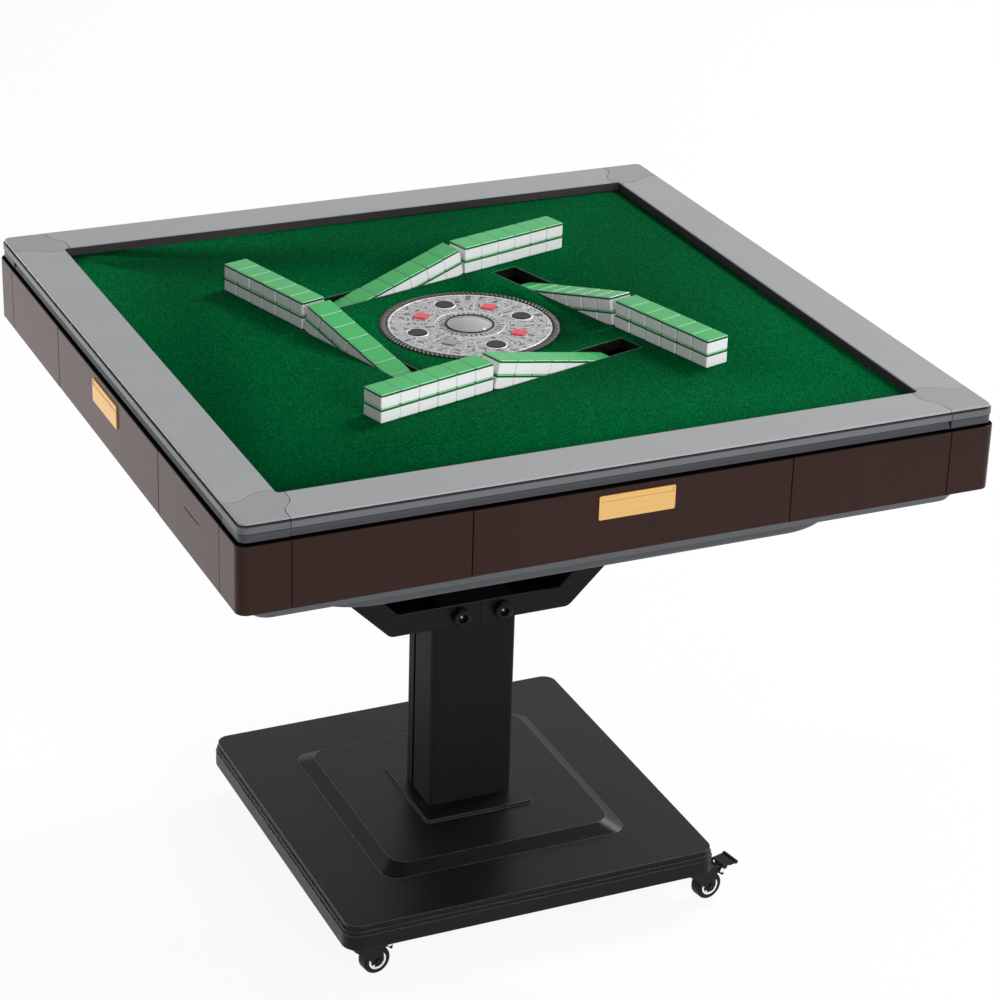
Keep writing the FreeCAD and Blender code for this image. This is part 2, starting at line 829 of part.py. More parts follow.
def chassis_frame():
    """Welded bars: a floor ring, a ledge and a rim for the board, and the posts between them."""
    z_ledge = z_board_bottom - chassis_plate
    pocket_half = board_half + board_clearance
    bars = ring_bars(chassis_half, floor_opening_half, z_panel, z_chassis_floor)
    bars += ring_bars(chassis_half, chassis_inner_half, z_ledge, z_board_bottom)
    bars += ring_bars(chassis_half, pocket_half, z_board_bottom, z_rail)
    back = -chassis_half + post_depth
    jamb_start = drawer_seam + post_gap
    for degrees in SIDES.values():
        for x0 in (-jamb_start - post_width, jamb_start):
            jamb = box(x0, x0 + post_width, -chassis_half, back, z_chassis_floor, z_ledge)
            bars.append(turned(jamb, degrees))
        corner_post = box(-chassis_half, back, -chassis_half, back, z_chassis_floor, z_ledge)
        bars.append(turned(corner_post, degrees))
    return bars


def pan_beams():
    """Two beams across the pan's floor, bored for the bracket's flange bolts."""
    beams = []
    half_width = pan_beam_width / 2
    for x in (-pan_beam_x, pan_beam_x):
        beam = box(
            x - half_width, x + half_width, -pan_beam_half_length, pan_beam_half_length,
            z_pan_floor, z_pan_floor + pan_beam_height,
        )
        for y in (-flange_bolt_spacing / 2, flange_bolt_spacing / 2):
            bore_top = z_pan - arm_plate + flange_bolt_reach + bolt_end_gap
            beam = beam.cut(cylinder(flange_bolt_hole_radius, z_pan_floor, bore_top, x, y))
        beams.append(beam)
    return beams


# Brown body and drawers


def body_corner():
    """The corner piece of the body, in the back right corner."""
    outer = rounded_plate(body_half, body_half, body_corner_radius, z_panel, z_panel_top)
    outer = round_edges(outer, panel_round, lambda b: b.ZLength < NEAR)
    inner = square_block(chassis_half, z_panel, z_panel_top)
    start = corner_seam + panel_gap / 2
    region = box(start, body_half, start, body_half, z_panel, z_panel_top)
    return outer.cut(inner).common(region)


def side_panel(x0, x1, back):
    """A panel of the front side between two seams, its outer edges rounded."""
    panel = box(x0 + panel_gap / 2, x1 - panel_gap / 2, -body_half, -back, z_panel, z_panel_top)
    return round_edges(panel, panel_round, lambda b: b.YMax < -body_half + NEAR)


def body_panels():
    """Two fixed panels a side. The left side's front panel has a narrow slit."""
    panels = []
    for name, degrees in SIDES.items():
        for x0, x1 in ((-corner_seam, -drawer_seam), (drawer_seam, corner_seam)):
            panel = side_panel(x0, x1, chassis_half)
            if name == "left" and x0 > 0:
                z_slit = z_panel_top - slit_below_top
                panel = panel.cut(box(
                    slit_from_centre - slit_length / 2, slit_from_centre + slit_length / 2,
                    -body_half, -body_half + slit_depth, z_slit - slit_height / 2, z_slit + slit_height / 2,
                ))
            panels.append(turned(panel, degrees))
    return panels


def drawer():
    """The front drawer: an open box with its front in one piece."""
    back = chassis_half + drawer_front_gap
    z_low = z_panel + drawer_edge_gap
    z_high = z_panel_top - drawer_edge_gap
    front = box(
        -drawer_seam + panel_gap / 2, drawer_seam - panel_gap / 2, -body_half, -back, z_low, z_high,
    )
    front = round_edges(front, panel_round, lambda b: b.YMax < -body_half + NEAR)
    z_floor = z_chassis_floor + runner_thickness + drawer_slide_gap
    z_rim = z_panel_top - drawer_head_gap
    inner_end = -back + drawer_depth
    case = box(-drawer_half, drawer_half, -back, inner_end, z_floor, z_rim)
    hollow = box(
        -drawer_half + drawer_wall, drawer_half - drawer_wall, -back, inner_end - drawer_wall,
        z_floor + drawer_wall, z_rim,
    )
    return fuse([front, case.cut(hollow)])


def drawer_runners():
    """Two angle runners under each drawer."""
    runners = []
    y0 = -chassis_half + drawer_wall
    y1 = -chassis_half + drawer_depth - drawer_wall
    guide = drawer_half + drawer_slide_gap
    z_shelf = z_chassis_floor + runner_thickness
    right = fuse([
        box(drawer_half - runner_shelf, guide + runner_thickness, y0, y1, z_chassis_floor, z_shelf),
        box(guide, guide + runner_thickness, y0, y1, z_shelf, z_shelf + runner_guide_height),
    ])
    left = right.mirror(CENTRE, V(1, 0, 0))
    for degrees in SIDES.values():
        runners.append(turned(right, degrees))
        runners.append(turned(left, degrees))
    return runners


def drawer_pull():
    """A pull plate with rounded corners and a step along its top."""
    plate = rounded_plate(pull_length / 2, pull_height / 2, pull_corner_radius, 0, pull_thickness)
    plate.rotate(CENTRE, V(1, 0, 0), 90)
    z_top = z_panel_top - pull_below_top
    plate.translate(V(0, -body_half, z_top - pull_height / 2))
    front = -body_half - pull_thickness
    step = box(
        -pull_length / 2 + pull_corner_radius, pull_length / 2 - pull_corner_radius,
        front, front + pull_step_depth, z_top - pull_step_height, z_top - pull_corner_radius,
    )
    return plate.cut(step)


# Top frame


def trim_outline(coved):
    """The moulded outer edge of the frame, as a face across the right-hand side."""
    inside = frame_half - trim_depth
    z_lip = z_frame - lip_height
    z_groove = z_lip - groove_height
    z_band = z_groove - band_height
    z_cove = z_band - cove_height
    band = frame_half + band_out
    ease = lip_round * (1 - 1 / sqrt(2))
    lip_start = V(frame_half - lip_round, 0, z_frame)
    lip_mid = V(frame_half - ease, 0, z_frame - ease)
    lip_end = V(frame_half, 0, z_frame - lip_round)

    def lines(*places):
        corners = [V(x, 0, z) for x, z in places]
        return [Part.makeLine(a, b) for a, b in zip(corners, corners[1:])]

    edges = lines((inside, z_frame), (lip_start.x, z_frame))
    edges.append(Part.Arc(lip_start, lip_mid, lip_end).toShape())
    edges += lines(
        (frame_half, lip_end.z), (frame_half, z_lip), (frame_half - groove_depth, z_lip),
        (frame_half - groove_depth, z_groove), (band, z_groove), (band, z_band),
    )
    if coved:
        cove_in = frame_half - cove_depth
        skirt = frame_half + skirt_lip_out
        cove_mid = V(cove_in + cove_flare, 0, (z_band + z_cove) / 2)
        edges += lines((band, z_band), (cove_in, z_band))
        edges.append(Part.Arc(V(cove_in, 0, z_band), cove_mid, V(skirt, 0, z_cove)).toShape())
        edges += lines((skirt, z_cove), (skirt, z_rail))
    else:
        skirt = band - corner_band_step
        edges += lines((band, z_band), (skirt, z_band), (skirt, z_rail))
    edges += lines((skirt, z_rail), (inside, z_rail), (inside, z_frame))
    return Part.Face(Part.Wire(edges))


def frame_ring(coved):
    """The whole frame before it is parted: a flat core inside a moulded edge."""
    core_half = frame_half - trim_depth
    core_radius = frame_corner_radius - trim_depth
    core = rounded_plate(core_half, core_half, core_radius, z_rail, z_frame)
    opening = rounded_plate(opening_half, opening_half, opening_corner_radius, z_rail, z_frame)
    wide = opening_half + opening_chamfer
    wide_radius = opening_corner_radius + opening_chamfer
    bevel = rounded_taper(
        opening_half, opening_corner_radius, z_frame - opening_chamfer, wide, wide_radius, z_frame,
    )
    rebate = square_block(board_half + board_clearance, z_rail, z_cloth)
    core = core.cut(opening).cut(bevel).cut(rebate)
    straight = frame_half - frame_corner_radius
    outline = trim_outline(coved)
    side = moved(outline, 0, -straight).extrude(V(0, 2 * straight, 0))
    corner = moved(outline, 0, straight).revolve(V(straight, straight, 0), UP, 90)
    pieces = [core]
    for degrees in SIDES.values():
        pieces.append(turned(side, degrees))
        pieces.append(turned(corner, degrees))
    return fuse(pieces)


def corner_region(gap):
    """The space of the back right corner block, bounded by its two S-shaped seams."""
    inner = seam_inner - gap
    outer = seam_outer - gap
    start = opening_half + seam_bend_in
    end = frame_half - seam_bend_out
    middle = (start + end) / 2
    low = opening_half - seam_bend_in
    far = frame_half + 2 * band_out

    def seam_bend(a, b, c, d):
        curve = Part.BezierCurve()
        curve.setPoles([V(x, y, 0) for x, y in (a, b, c, d)])
        return curve.toShape()

    def line(a, b):
        return Part.makeLine(V(a[0], a[1], 0), V(b[0], b[1], 0))

    edges = [
        line((inner, low), (inner, start)),
        seam_bend((inner, start), (inner, middle), (outer, middle), (outer, end)),
        line((outer, end), (outer, far)),
        line((outer, far), (far, far)),
        line((far, far), (far, outer)),
        line((far, outer), (end, outer)),
        seam_bend((end, outer), (middle, outer), (middle, inner), (start, inner)),
        line((start, inner), (low, inner)),
        line((low, inner), (inner, low)),
    ]
    region = Part.Face(Part.Wire(edges)).extrude(V(0, 0, rail_height))
    return moved(region, 0, 0, z_rail)


def frame_pieces():
    """The four rails and the four corner blocks."""
    rails = frame_ring(True)
    ring = frame_ring(False)
    corners = []
    for degrees in SIDES.values():
        corners.append(ring.common(turned(corner_region(0), degrees)).Solids[0])
        rails = rails.cut(turned(corner_region(seam_gap), degrees))
    return rails.Solids, corners


# Playing surface, tiles and ramps


def surface(z0, z1):
    """A square sheet of the playing surface with the mouths and the console's hole cut out."""
    layer = square_block(board_half, z0, z1).cut(cylinder(console_hole_radius, z0, z1))
    mouth = on_wall(box(mouth_start, mouth_end, -mouth_clearance, tile_length + mouth_clearance, z0, z1))
    for degrees in SIDES.values():
        layer = layer.cut(turned(mouth, degrees))
    return layer


def playing_board():
    """The board under the cloth, with a pair of pin holes beside each mouth."""
    board = surface(z_board_bottom, z_board)
    reach = mouth_clearance + ramp_pin_reach + ramp_pin_end_gap
    hole = on_wall(cross_cylinder(
        ramp_pin_radius + ramp_pin_clearance, ramp_pin_u,
        -reach, tile_length + reach, z_cloth - ramp_pin_depth,
    ))
    for degrees in SIDES.values():
        board = board.cut(turned(hole, degrees))
    return board


def tile(u, layer):
    """One tile of a wall, lying face down."""
    z0 = z_cloth + layer * tile_thickness
    solid = box(u, u + tile_width, 0, tile_length, z0, z0 + tile_thickness)
    return solid.makeChamfer(tile_chamfer, solid.Edges)


def tile_row(u, stacks):
    """A row of stacks of tiles in a wall's own axes."""
    places = [(u + n * tile_pitch, layer) for n in range(stacks) for layer in range(tile_layers)]
    return [tile(place, layer) for place, layer in places]


def lowered(shape):
    """A copy turned down about the ramp's pin, from flush with the cloth to its resting place."""
    copy = shape.copy()
    copy.rotate(V(ramp_pin_u, 0, z_cloth - ramp_pin_depth), ALONG_Y, ramp_drop_angle)
    return copy


def lift_ramp():
    """A ramp plate with side flanges, a knuckle and pin stubs, in a wall's own axes."""
    start = ramp_pin_u - ramp_knuckle_radius
    end = start + ramp_length
    v0 = ramp_side_clearance
    v1 = tile_length - ramp_side_clearance
    z_pin = z_cloth - ramp_pin_depth
    pieces = [
        box(start, end, v0, v1, z_cloth - ramp_thickness, z_cloth),
        cross_cylinder(ramp_knuckle_radius, ramp_pin_u, v0, v1, z_pin),
        cross_cylinder(
            ramp_pin_radius, ramp_pin_u, -mouth_clearance - ramp_pin_reach,
            tile_length + mouth_clearance + ramp_pin_reach, z_pin,
        ),
    ]
    for near in (v0, v1 - ramp_flange_thickness):
        far = near + ramp_flange_thickness
        pieces.append(box(ramp_pin_u, end, near, far, z_cloth - ramp_flange, z_cloth))
    return lowered(fuse(pieces))


# Console, turntable and guide


def console_plate():
    """The console's plate with its skirt, floor and lift tube."""
    z_top = z_cloth + console_proud
    z_plate = z_top - console_plate_thickness
    z_floor = z_board_bottom - console_cup_drop
    z_tube = z_pan_floor + console_tube_end_gap
    skirt_bore = console_skirt_radius - console_skirt_wall
    disc = cylinder(console_radius, z_plate, z_top)
    disc = disc.makeChamfer(console_edge_chamfer, [e for e in disc.Edges if e.BoundBox.ZMin > z_top - NEAR])
    skirt = tube(console_skirt_radius, skirt_bore, z_floor, z_plate)
    stem_bore = console_tube_radius - console_tube_wall
    floor = tube(console_skirt_radius, stem_bore, z_floor, z_floor + console_floor)
    stem = tube(console_tube_radius, stem_bore, z_tube, z_floor + console_floor)
    plate = fuse([disc, skirt, floor, stem])
    seat = dome_radius + dome_seat_clearance
    plate = plate.cut(cylinder(seat, z_top - dome_seat_depth, z_top))
    for side in range(4):
        plate = plate.cut(turned(round_button(button_clearance, True), 90 * side))
        plate = plate.cut(turned(square_button(button_clearance, True), 90 * side))
    return plate


def console_ring():
    """The ring pressed onto the plate's edge: a sleeve in the hole and a low flange over the cloth."""
    z_low = z_cloth + console_proud - console_plate_thickness
    z_flange = z_cloth + console_lift_gap
    z_high = z_flange + ring_height
    sleeve = cylinder(console_radius + ring_sleeve, z_low, z_high)
    flange = Part.makeCone(ring_radius, ring_radius - ring_slope, ring_height, V(0, 0, z_flange))
    return fuse([sleeve, flange]).cut(cylinder(console_radius, z_low, z_high))


def dice_dome():
    """A clear dome over the console's middle, with a flat bezel round it."""
    z_top = z_cloth + console_proud
    z_seat = z_top - dome_seat_depth
    ball_radius = (dome_radius ** 2 + dome_rise ** 2) / (2 * dome_rise)
    z_ball = z_top + dome_rise - ball_radius
    ball = Part.makeSphere(ball_radius, V(0, 0, z_ball))
    cap = ball.common(cylinder(dome_radius, z_top, z_top + dome_rise))
    hollow = Part.makeSphere(ball_radius - dome_wall, V(0, 0, z_ball))
    rim = tube(dome_radius, dome_radius - dome_wall, z_seat, z_top)
    bezel = tube(dome_radius + dome_bezel_width, dome_radius - dome_wall, z_top, z_top + dome_bezel_height)
    return fuse([cap.cut(hollow), rim, bezel])


def round_button(grow=0.0, through=False):
    """A round button, or with grow and through the shaft that it moves in."""

    def block(g, z0, z1):
        return cylinder(round_button_radius + g, z0, z1)

    return button(block, round_button_ring, round_button_turn, grow, through)


def square_button(grow=0.0, through=False):
    """A square button set radially, or the shaft that it moves in."""
    half = square_button_side / 2

    def block(g, z0, z1):
        return rounded_plate(half + g, half + g, button_edge + g, z0, z1)

    return button(block, square_button_ring, 45, grow, through)


def button(block, ring, degrees, grow, through):
    """A button's cap, retaining flange and stem, placed on its circle."""
    z_top = z_cloth + console_proud
    z_plate = z_top - console_plate_thickness
    z_cap = z_top + button_proud
    if through:
        shape = block(grow, z_plate, z_cap)
    else:
        z_flange = z_plate - button_flange_gap
        z_low = z_flange - button_flange_thickness
        z_stem = z_board_bottom - console_cup_drop + console_floor + button_travel + button_flange_gap
        cap = block(0, z_flange, z_cap)
        cap = cap.makeChamfer(button_edge / 2, [e for e in cap.Edges if e.BoundBox.ZMin > z_cap - NEAR])
        shape = fuse([
            cap,
            block(button_flange, z_low, z_flange),
            cylinder(button_stem_radius, z_stem, z_low),
        ])
    return turned(moved(shape, ring, 0), degrees)


def console_guide():
    """The fixed tube that the console's stem slides in, on a small foot."""
    z_top = z_board_bottom - guide_top_drop
    foot = tube(guide_radius + guide_flange, guide_bore, z_pan_floor, z_pan_floor + guide_flange_height)
    return fuse([foot, tube(guide_radius, guide_bore, z_pan_floor, z_top)])


def turntable_motor():
    """A flat hollow-shaft motor round the guide's foot."""
    bore = guide_radius + guide_flange + hub_clearance
    return tube(motor_radius, bore, z_pan_floor, z_pan_floor + motor_height)


def mixing_turntable():
    """A round dish with radial ribs that turns about the guide."""
    bore = guide_radius + hub_clearance
    z_floor = z_turntable + turntable_floor
    inner_radius = turntable_radius - turntable_wall
    dish = cylinder(turntable_radius, z_turntable, z_turntable + turntable_rim_height)
    dish = dish.cut(cylinder(inner_radius, z_floor, z_turntable + turntable_rim_height))
    dish = dish.cut(cylinder(bore, z_turntable, z_floor))
    half = turntable_rib_width / 2
    rib = box(motor_radius, inner_radius, -half, half, z_floor, z_floor + turntable_rib_height)
    ribs = [turned(rib, 360 / turntable_ribs * n) for n in range(turntable_ribs)]
    return fuse([dish] + ribs)


os.makedirs("parts", exist_ok=True)

save("base_cover", base_cover())
save("base_frame", base_frame())
save("column_post", column_post())
shell, cover = column_skin()
save("column_front_shell", shell)
save("column_rear_cover", cover)
arm = bracket_arm()
save("bracket_arm_right", arm)
save("bracket_arm_left", arm.mirror(CENTRE, V(1, 0, 0)))
save("bracket_bolts", *bracket_bolts())

for name, (side_x, side_y) in CORNERS.items():
    braked = side_y < 0
    save("caster_fork_" + name, caster_fork(side_x * caster_x, side_y * caster_y, braked))
    save("caster_wheel_" + name, caster_wheel(side_x * caster_x, side_y * caster_y))
    if braked:
        save("brake_pedal_" + name, brake_pedal(side_x * caster_x, side_y * caster_y))

save("mixing_pan", mixing_pan())
save("underside_tray", underside_tray())
save("power_inlet", power_inlet())
save("chassis_frame", *chassis_frame(), *pan_beams())
save("drawer_runners", *drawer_runners())
corner = body_corner()
save("body_corners", *[turned(corner, degrees) for degrees in SIDES.values()])
save("body_panels", *body_panels())
front_drawer = drawer()
front_pull = drawer_pull()
for name, degrees in SIDES.items():
    save("drawer_" + name, turned(front_drawer, degrees))
    save("drawer_pull_" + name, turned(front_pull, degrees))

frame_rails, frame_corners = frame_pieces()
save("frame_rails", *frame_rails)
save("frame_corners", *frame_corners)
save("playing_board", playing_board())
save("playing_cloth", surface(z_board, z_cloth))

flat_tiles = [on_wall(piece) for piece in tile_row(0, flat_stacks)]
save("tile_walls", *[turned(piece, degrees) for degrees in SIDES.values() for piece in flat_tiles])
ramp = on_wall(lift_ramp())
ramp_tiles = [on_wall(lowered(piece)) for piece in tile_row(flat_length + ramp_tile_clearance, ramp_stacks)]
for name, degrees in SIDES.items():
    save("lift_ramp_" + name, turned(ramp, degrees))
    save("ramp_tiles_" + name, *[turned(piece, degrees) for piece in ramp_tiles])

save("console_plate", console_plate())
save("console_ring", console_ring())
save("dice_dome", dice_dome())
for name, degrees in SIDES.items():
    save("dice_button_" + name, turned(round_button(), degrees - 90))
    save("lift_button_" + name, turned(square_button(), degrees - 90))
save("console_guide", console_guide())
save("turntable_motor", turntable_motor())
save("mixing_turntable", mixing_turntable())
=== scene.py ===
# %% [markdown]
# # An automatic mahjong table
# The table's construction comes from its CAD model: every node is already in place, in metres, and
# moves with its own body. This lesson adds what a maker would call the finish: materials, the cloth,
# the tiles, and the small trim that is too fine to be worth a solid.

# %% Load the frame
import json
import random
from math import cos, pi, radians, sin

import bmesh
import bpy
from mathutils import Matrix, Quaternion, Vector


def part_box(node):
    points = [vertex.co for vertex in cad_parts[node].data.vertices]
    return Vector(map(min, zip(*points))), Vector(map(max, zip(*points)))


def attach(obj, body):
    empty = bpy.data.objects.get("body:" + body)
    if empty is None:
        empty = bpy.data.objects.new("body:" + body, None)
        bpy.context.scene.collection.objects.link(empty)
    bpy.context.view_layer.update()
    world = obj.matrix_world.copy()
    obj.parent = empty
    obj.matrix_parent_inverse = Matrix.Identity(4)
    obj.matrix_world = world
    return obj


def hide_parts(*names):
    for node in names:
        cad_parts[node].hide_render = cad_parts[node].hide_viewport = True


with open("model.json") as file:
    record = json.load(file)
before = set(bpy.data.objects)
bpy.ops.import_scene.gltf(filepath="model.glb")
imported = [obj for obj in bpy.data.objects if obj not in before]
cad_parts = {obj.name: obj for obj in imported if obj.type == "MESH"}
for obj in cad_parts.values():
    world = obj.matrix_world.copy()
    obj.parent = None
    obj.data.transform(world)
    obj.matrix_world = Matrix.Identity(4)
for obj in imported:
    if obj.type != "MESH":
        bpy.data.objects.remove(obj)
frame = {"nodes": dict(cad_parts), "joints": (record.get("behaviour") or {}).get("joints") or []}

NODES = frame["nodes"]
JOINTS = {joint["name"]: joint for joint in frame["joints"]}
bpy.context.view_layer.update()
MM = 0.001
SIDES = {"front": 0, "right": 90, "back": 180, "left": 270}
CORNERS = ("front_left", "front_right", "back_right", "back_left")

# %% [markdown]
# ## Tools for pieces
# A piece is a bmesh turned into an object that rides on a CAD body, so that it moves when the body does.
# Two shapes come back again and again on this table: things turned about an axis, such as rings and rivets,
# and strips that run round a square with soft corners, such as gaskets. Each gets a helper.

# %% Piece helpers
def piece(name, mesh_data, materials, body, replaces=(), smooth=True):
    """Turns a bmesh into a named object that rides on a body and stands for the nodes it replaces."""
    mesh = bpy.data.meshes.new(name)
    mesh_data.normal_update()
    mesh_data.to_mesh(mesh)
    mesh_data.free()
    for material in materials:
        mesh.materials.append(material)
    for polygon in mesh.polygons:
        polygon.use_smooth = smooth
    obj = bpy.data.objects.new(name, mesh)
    bpy.context.scene.collection.objects.link(obj)
    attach(obj, body)
    if replaces:
        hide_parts(*replaces)
    return obj


def about_z(degrees):
    """A turn about the table's upright axis."""
    return Matrix.Rotation(radians(degrees), 4, "Z")


def skin(mesh_data, rings):
    """Closes a list of equal rings of points into a band that runs round to its start."""
    loops = [[mesh_data.verts.new(point) for point in ring] for ring in rings]
    count = len(loops[0])
    for here, there in zip(loops, loops[1:] + loops[:1]):
        for k in range(count):
            mesh_data.faces.new((here[k], there[k], there[(k + 1) % count], here[(k + 1) % count]))


def lathe(mesh_data, outline, steps, place=Matrix.Identity(4)):
    """Adds a closed (radius, height) outline turned about Z."""
    spins = [place @ about_z(360 * n / steps) for n in range(steps)]
    skin(mesh_data, [[spin @ Vector((r, 0, z)) for r, z in outline] for spin in spins])


def bead(radius, width, low, high, segments=6):
    """The outline of a low rounded ring, for the lathe."""
    points = [(radius - width / 2, low), (radius + width / 2, low)]
    for n in range(segments + 1):
        a = pi * n / segments
        points.append((radius + width / 2 * cos(a), low + (high - low) * (0.35 + 0.65 * sin(a))))
    return points


def square_strip(mesh_data, half, radius, outline, steps=8):
    """Adds a closed (inset, height) outline carried round a square with round corners."""
    rings = []
    for turn in range(4):
        for n in range(steps + 1):
            a = pi / 2 * (turn + n / steps)
            middle = about_z(90 * turn) @ Vector((half - radius, half - radius, 0))
            out = Vector((cos(a), sin(a), 0))
            rings.append([middle + out * (radius - inset) + Vector((0, 0, z)) for inset, z in outline])
    skin(mesh_data, rings)


print("piece helpers ready")

# %% [markdown]
# ## Tools for materials
# Colours are picked from a picture, so they are sRGB, while a shader works in linear light. Each
# surface gets a colour that wanders a little, a roughness that wanders with it, and a fine bump: that is what
# separates moulded plastic or painted steel from a flat fill. The texture coordinates are the object's own,
# which here are the table's real coordinates, so a noise scale is a count per metre.

# %% Material helpers
def linear(code):
    """A hex colour as linear RGBA."""
    parts = [int(code[n:n + 2], 16) / 255 for n in (1, 3, 5)]
    return [c / 12.92 if c <= 0.04045 else ((c + 0.055) / 1.055) ** 2.4 for c in parts] + [1.0]


def tint(colour, share):
    """A colour made lighter or darker by a share."""
    return [min(1.0, c * (1 + share)) for c in colour[:3]] + [1.0]


FINE_GRAIN = 0.0001


class Shader:
    """A material with its node tree and a few short cuts for wiring it."""

    def __init__(self, name):
        self.material = bpy.data.materials.new(name)
        self.material.use_nodes = True
        self.tree = self.material.node_tree
        self.base = self.tree.nodes["Principled BSDF"]
        self.where = self.add("ShaderNodeTexCoord").outputs["Object"]

    def add(self, kind, **settings):
        node = self.tree.nodes.new(kind)
        for key, value in settings.items():
            setattr(node, key, value)
        return node

    def link(self, source, target):
        self.tree.links.new(source, target)

    def axes(self):
        """The place on the table as X, Y and Z."""
        node = self.add("ShaderNodeSeparateXYZ")
        self.link(self.where, node.inputs[0])
        return node.outputs

    def noise(self, scale, detail=3.0, stretch=(1, 1, 1)):
        """A cloudy value, with scale counted per metre and an optional stretch along the axes."""
        node = self.add("ShaderNodeTexNoise")
        node.inputs["Scale"].default_value = scale
        node.inputs["Detail"].default_value = detail
        mapping = self.add("ShaderNodeMapping")
        mapping.inputs["Scale"].default_value = stretch
        self.link(self.where, mapping.inputs["Vector"])
        self.link(mapping.outputs["Vector"], node.inputs["Vector"])
        return node.outputs["Fac"]

    def math(self, operation, a, b=0.0):
        """One step of arithmetic on sockets or numbers."""
        node = self.add("ShaderNodeMath", operation=operation)
        for socket, value in zip(node.inputs, (a, b)):
            if isinstance(value, (int, float)):
                socket.default_value = value
            else:
                self.link(value, socket)
        return node.outputs[0]

    def ramp(self, factor, stops, interpolation="LINEAR"):
        """A colour picked along a list of (place, colour) stops."""
        node = self.add("ShaderNodeValToRGB")
        elements = node.color_ramp.elements
        node.color_ramp.interpolation = interpolation
        while len(elements) < len(stops):
            elements.new(0.5)
        for element, (place, colour) in zip(elements, stops):
            element.position = place
            element.color = colour
        self.link(factor, node.inputs["Fac"])
        return node.outputs["Color"]

    def spread(self, factor, low, high, start=0.0, end=1.0):
        """A value stretched from the range start to end onto the range low to high."""
        node = self.add("ShaderNodeMapRange")
        for key, value in (("From Min", start), ("From Max", end), ("To Min", low), ("To Max", high)):
            node.inputs[key].default_value = value
        self.link(factor, node.inputs["Value"])
        return node.outputs["Result"]

    def dim(self, colour, factor):
        """A colour scaled by a factor that varies over the surface."""
        node = self.add("ShaderNodeVectorMath", operation="SCALE")
        self.link(colour, node.inputs[0])
        self.link(factor, node.inputs["Scale"])
        return node.outputs[0]

    def bump(self, height, strength, distance=FINE_GRAIN):
        """Raises the surface by a height socket."""
        node = self.add("ShaderNodeBump")
        node.inputs["Strength"].default_value = strength
        node.inputs["Distance"].default_value = distance
        self.link(height, node.inputs["Height"])
        self.link(node.outputs["Normal"], self.base.inputs["Normal"])

    def feed(self, socket, source):
        """Wires a varying value into the surface."""
        self.link(source, self.base.inputs[socket])

    def set(self, **values):
        """Sets values that are the same all over the surface."""
        for key, value in values.items():
            self.base.inputs[key.replace("_", " ")].default_value = value


def moulded(name, code, vary=0.06, rough=0.42, rough_vary=0.07, grain=1400, strength=0.1,
            metallic=0.0, gloss=0.35, mirror=(1, 1, 1), stretch=(1, 1, 1)):
    """Plastic, paint or metal with a fine grain, a slow drift of colour and a tint to what it mirrors."""
    shader = Shader(name)
    colour = linear(code)
    slow = shader.noise(9, 4, stretch)
    shader.feed("Base Color", shader.ramp(slow, [(0.3, tint(colour, -vary)), (0.7, tint(colour, vary))]))
    shader.feed("Roughness", shader.spread(slow, rough - rough_vary, rough + rough_vary))
    shader.bump(shader.noise(grain, 2, stretch), strength)
    shader.set(Metallic=metallic, Specular_IOR_Level=gloss, Specular_Tint=(*mirror, 1))
    return shader.material


print("material helpers ready")

# %% [markdown]
# ## Plain materials
# The black of the base and the bracket is a powder coat: it has a tight orange-peel grain and hardly mirrors.
# The brown body has a smooth lacquer with a little metal in it, so it mirrors the white room where it is seen
# at a flat angle and keeps its warm tone there. The pulls are gold-coloured and brushed along their length,
# which is a noise stretched along one axis.

# %% Plain materials
BLACK = moulded("satin_black", "#131212", rough=0.36, grain=1800, strength=0.12, gloss=0.13)
# light grey for the base's bevels: a painted highlight along its edges
PAINTED_EDGE_HIGHLIGHT = moulded("satin_black_painted_edge_highlight", "#8c8b8b", rough=0.3, grain=1800, strength=0.1, gloss=0.5)
MATT_BLACK = moulded("matt_black", "#191818", rough=0.6, grain=1800, strength=0.15, gloss=0.06)
# near black for the column's head inside the bracket's trough: painted shade
SHADE_BLACK = moulded("painted_shade_black", "#070707", rough=0.8, grain=1500, strength=0.2, gloss=0.02)
BROWN = moulded("brown_body", "#2b1f1c", vary=0.07, rough=0.2, rough_vary=0.04, grain=900, strength=0.03,
                gloss=0.24, mirror=(0.56, 0.31, 0.28), metallic=0.17)
GREY = moulded("tray_grey", "#414447", rough=0.4, gloss=0.25)
STEEL = moulded("bright_steel", "#c9cacc", rough=0.3, metallic=1.0, grain=2600)
GOLD = moulded("pull_gold", "#e2b674", vary=0.04, rough=0.32, grain=300, strength=0.05, metallic=0.85,
               stretch=(1, 1, 18))
WHITE = moulded("tile_white", "#ececee", vary=0.015, rough=0.3, grain=700, strength=0.02)
GREEN = moulded("tile_green", "#38a85a", vary=0.06, rough=0.34, grain=700, strength=0.02, gloss=0.25)
# dark green for the side of the green layer: painted shade on a copy of the tile green
GREEN_SIDE_SHADE = moulded("tile_green_painted_side_shade", "#06521f", vary=0.05, rough=0.3, grain=700, strength=0.02, gloss=0.4)
# pale green for the rounding on top of the green layer: painted highlight
GREEN_RIM_HIGHLIGHT = moulded("tile_green_painted_rim_highlight", "#8fd8a6", vary=0.05, rough=0.3, grain=700, strength=0.02, gloss=0.4)
DARK = moulded("dark_plastic", "#161515", rough=0.3, gloss=0.1)
RUBBER = moulded("wheel_rubber", "#101010", rough=0.5, grain=1200, strength=0.2, gloss=0.15)
RED = moulded("button_red", "#db3c48", vary=0.04, rough=0.25, gloss=0.25)
BUTTON_GREY = moulded("button_grey", "#8c8c8c", rough=0.28, gloss=0.4)
SILVER = moulded("console_silver_trim", "#e4e4e4", vary=0.03, rough=0.3, metallic=0.15)
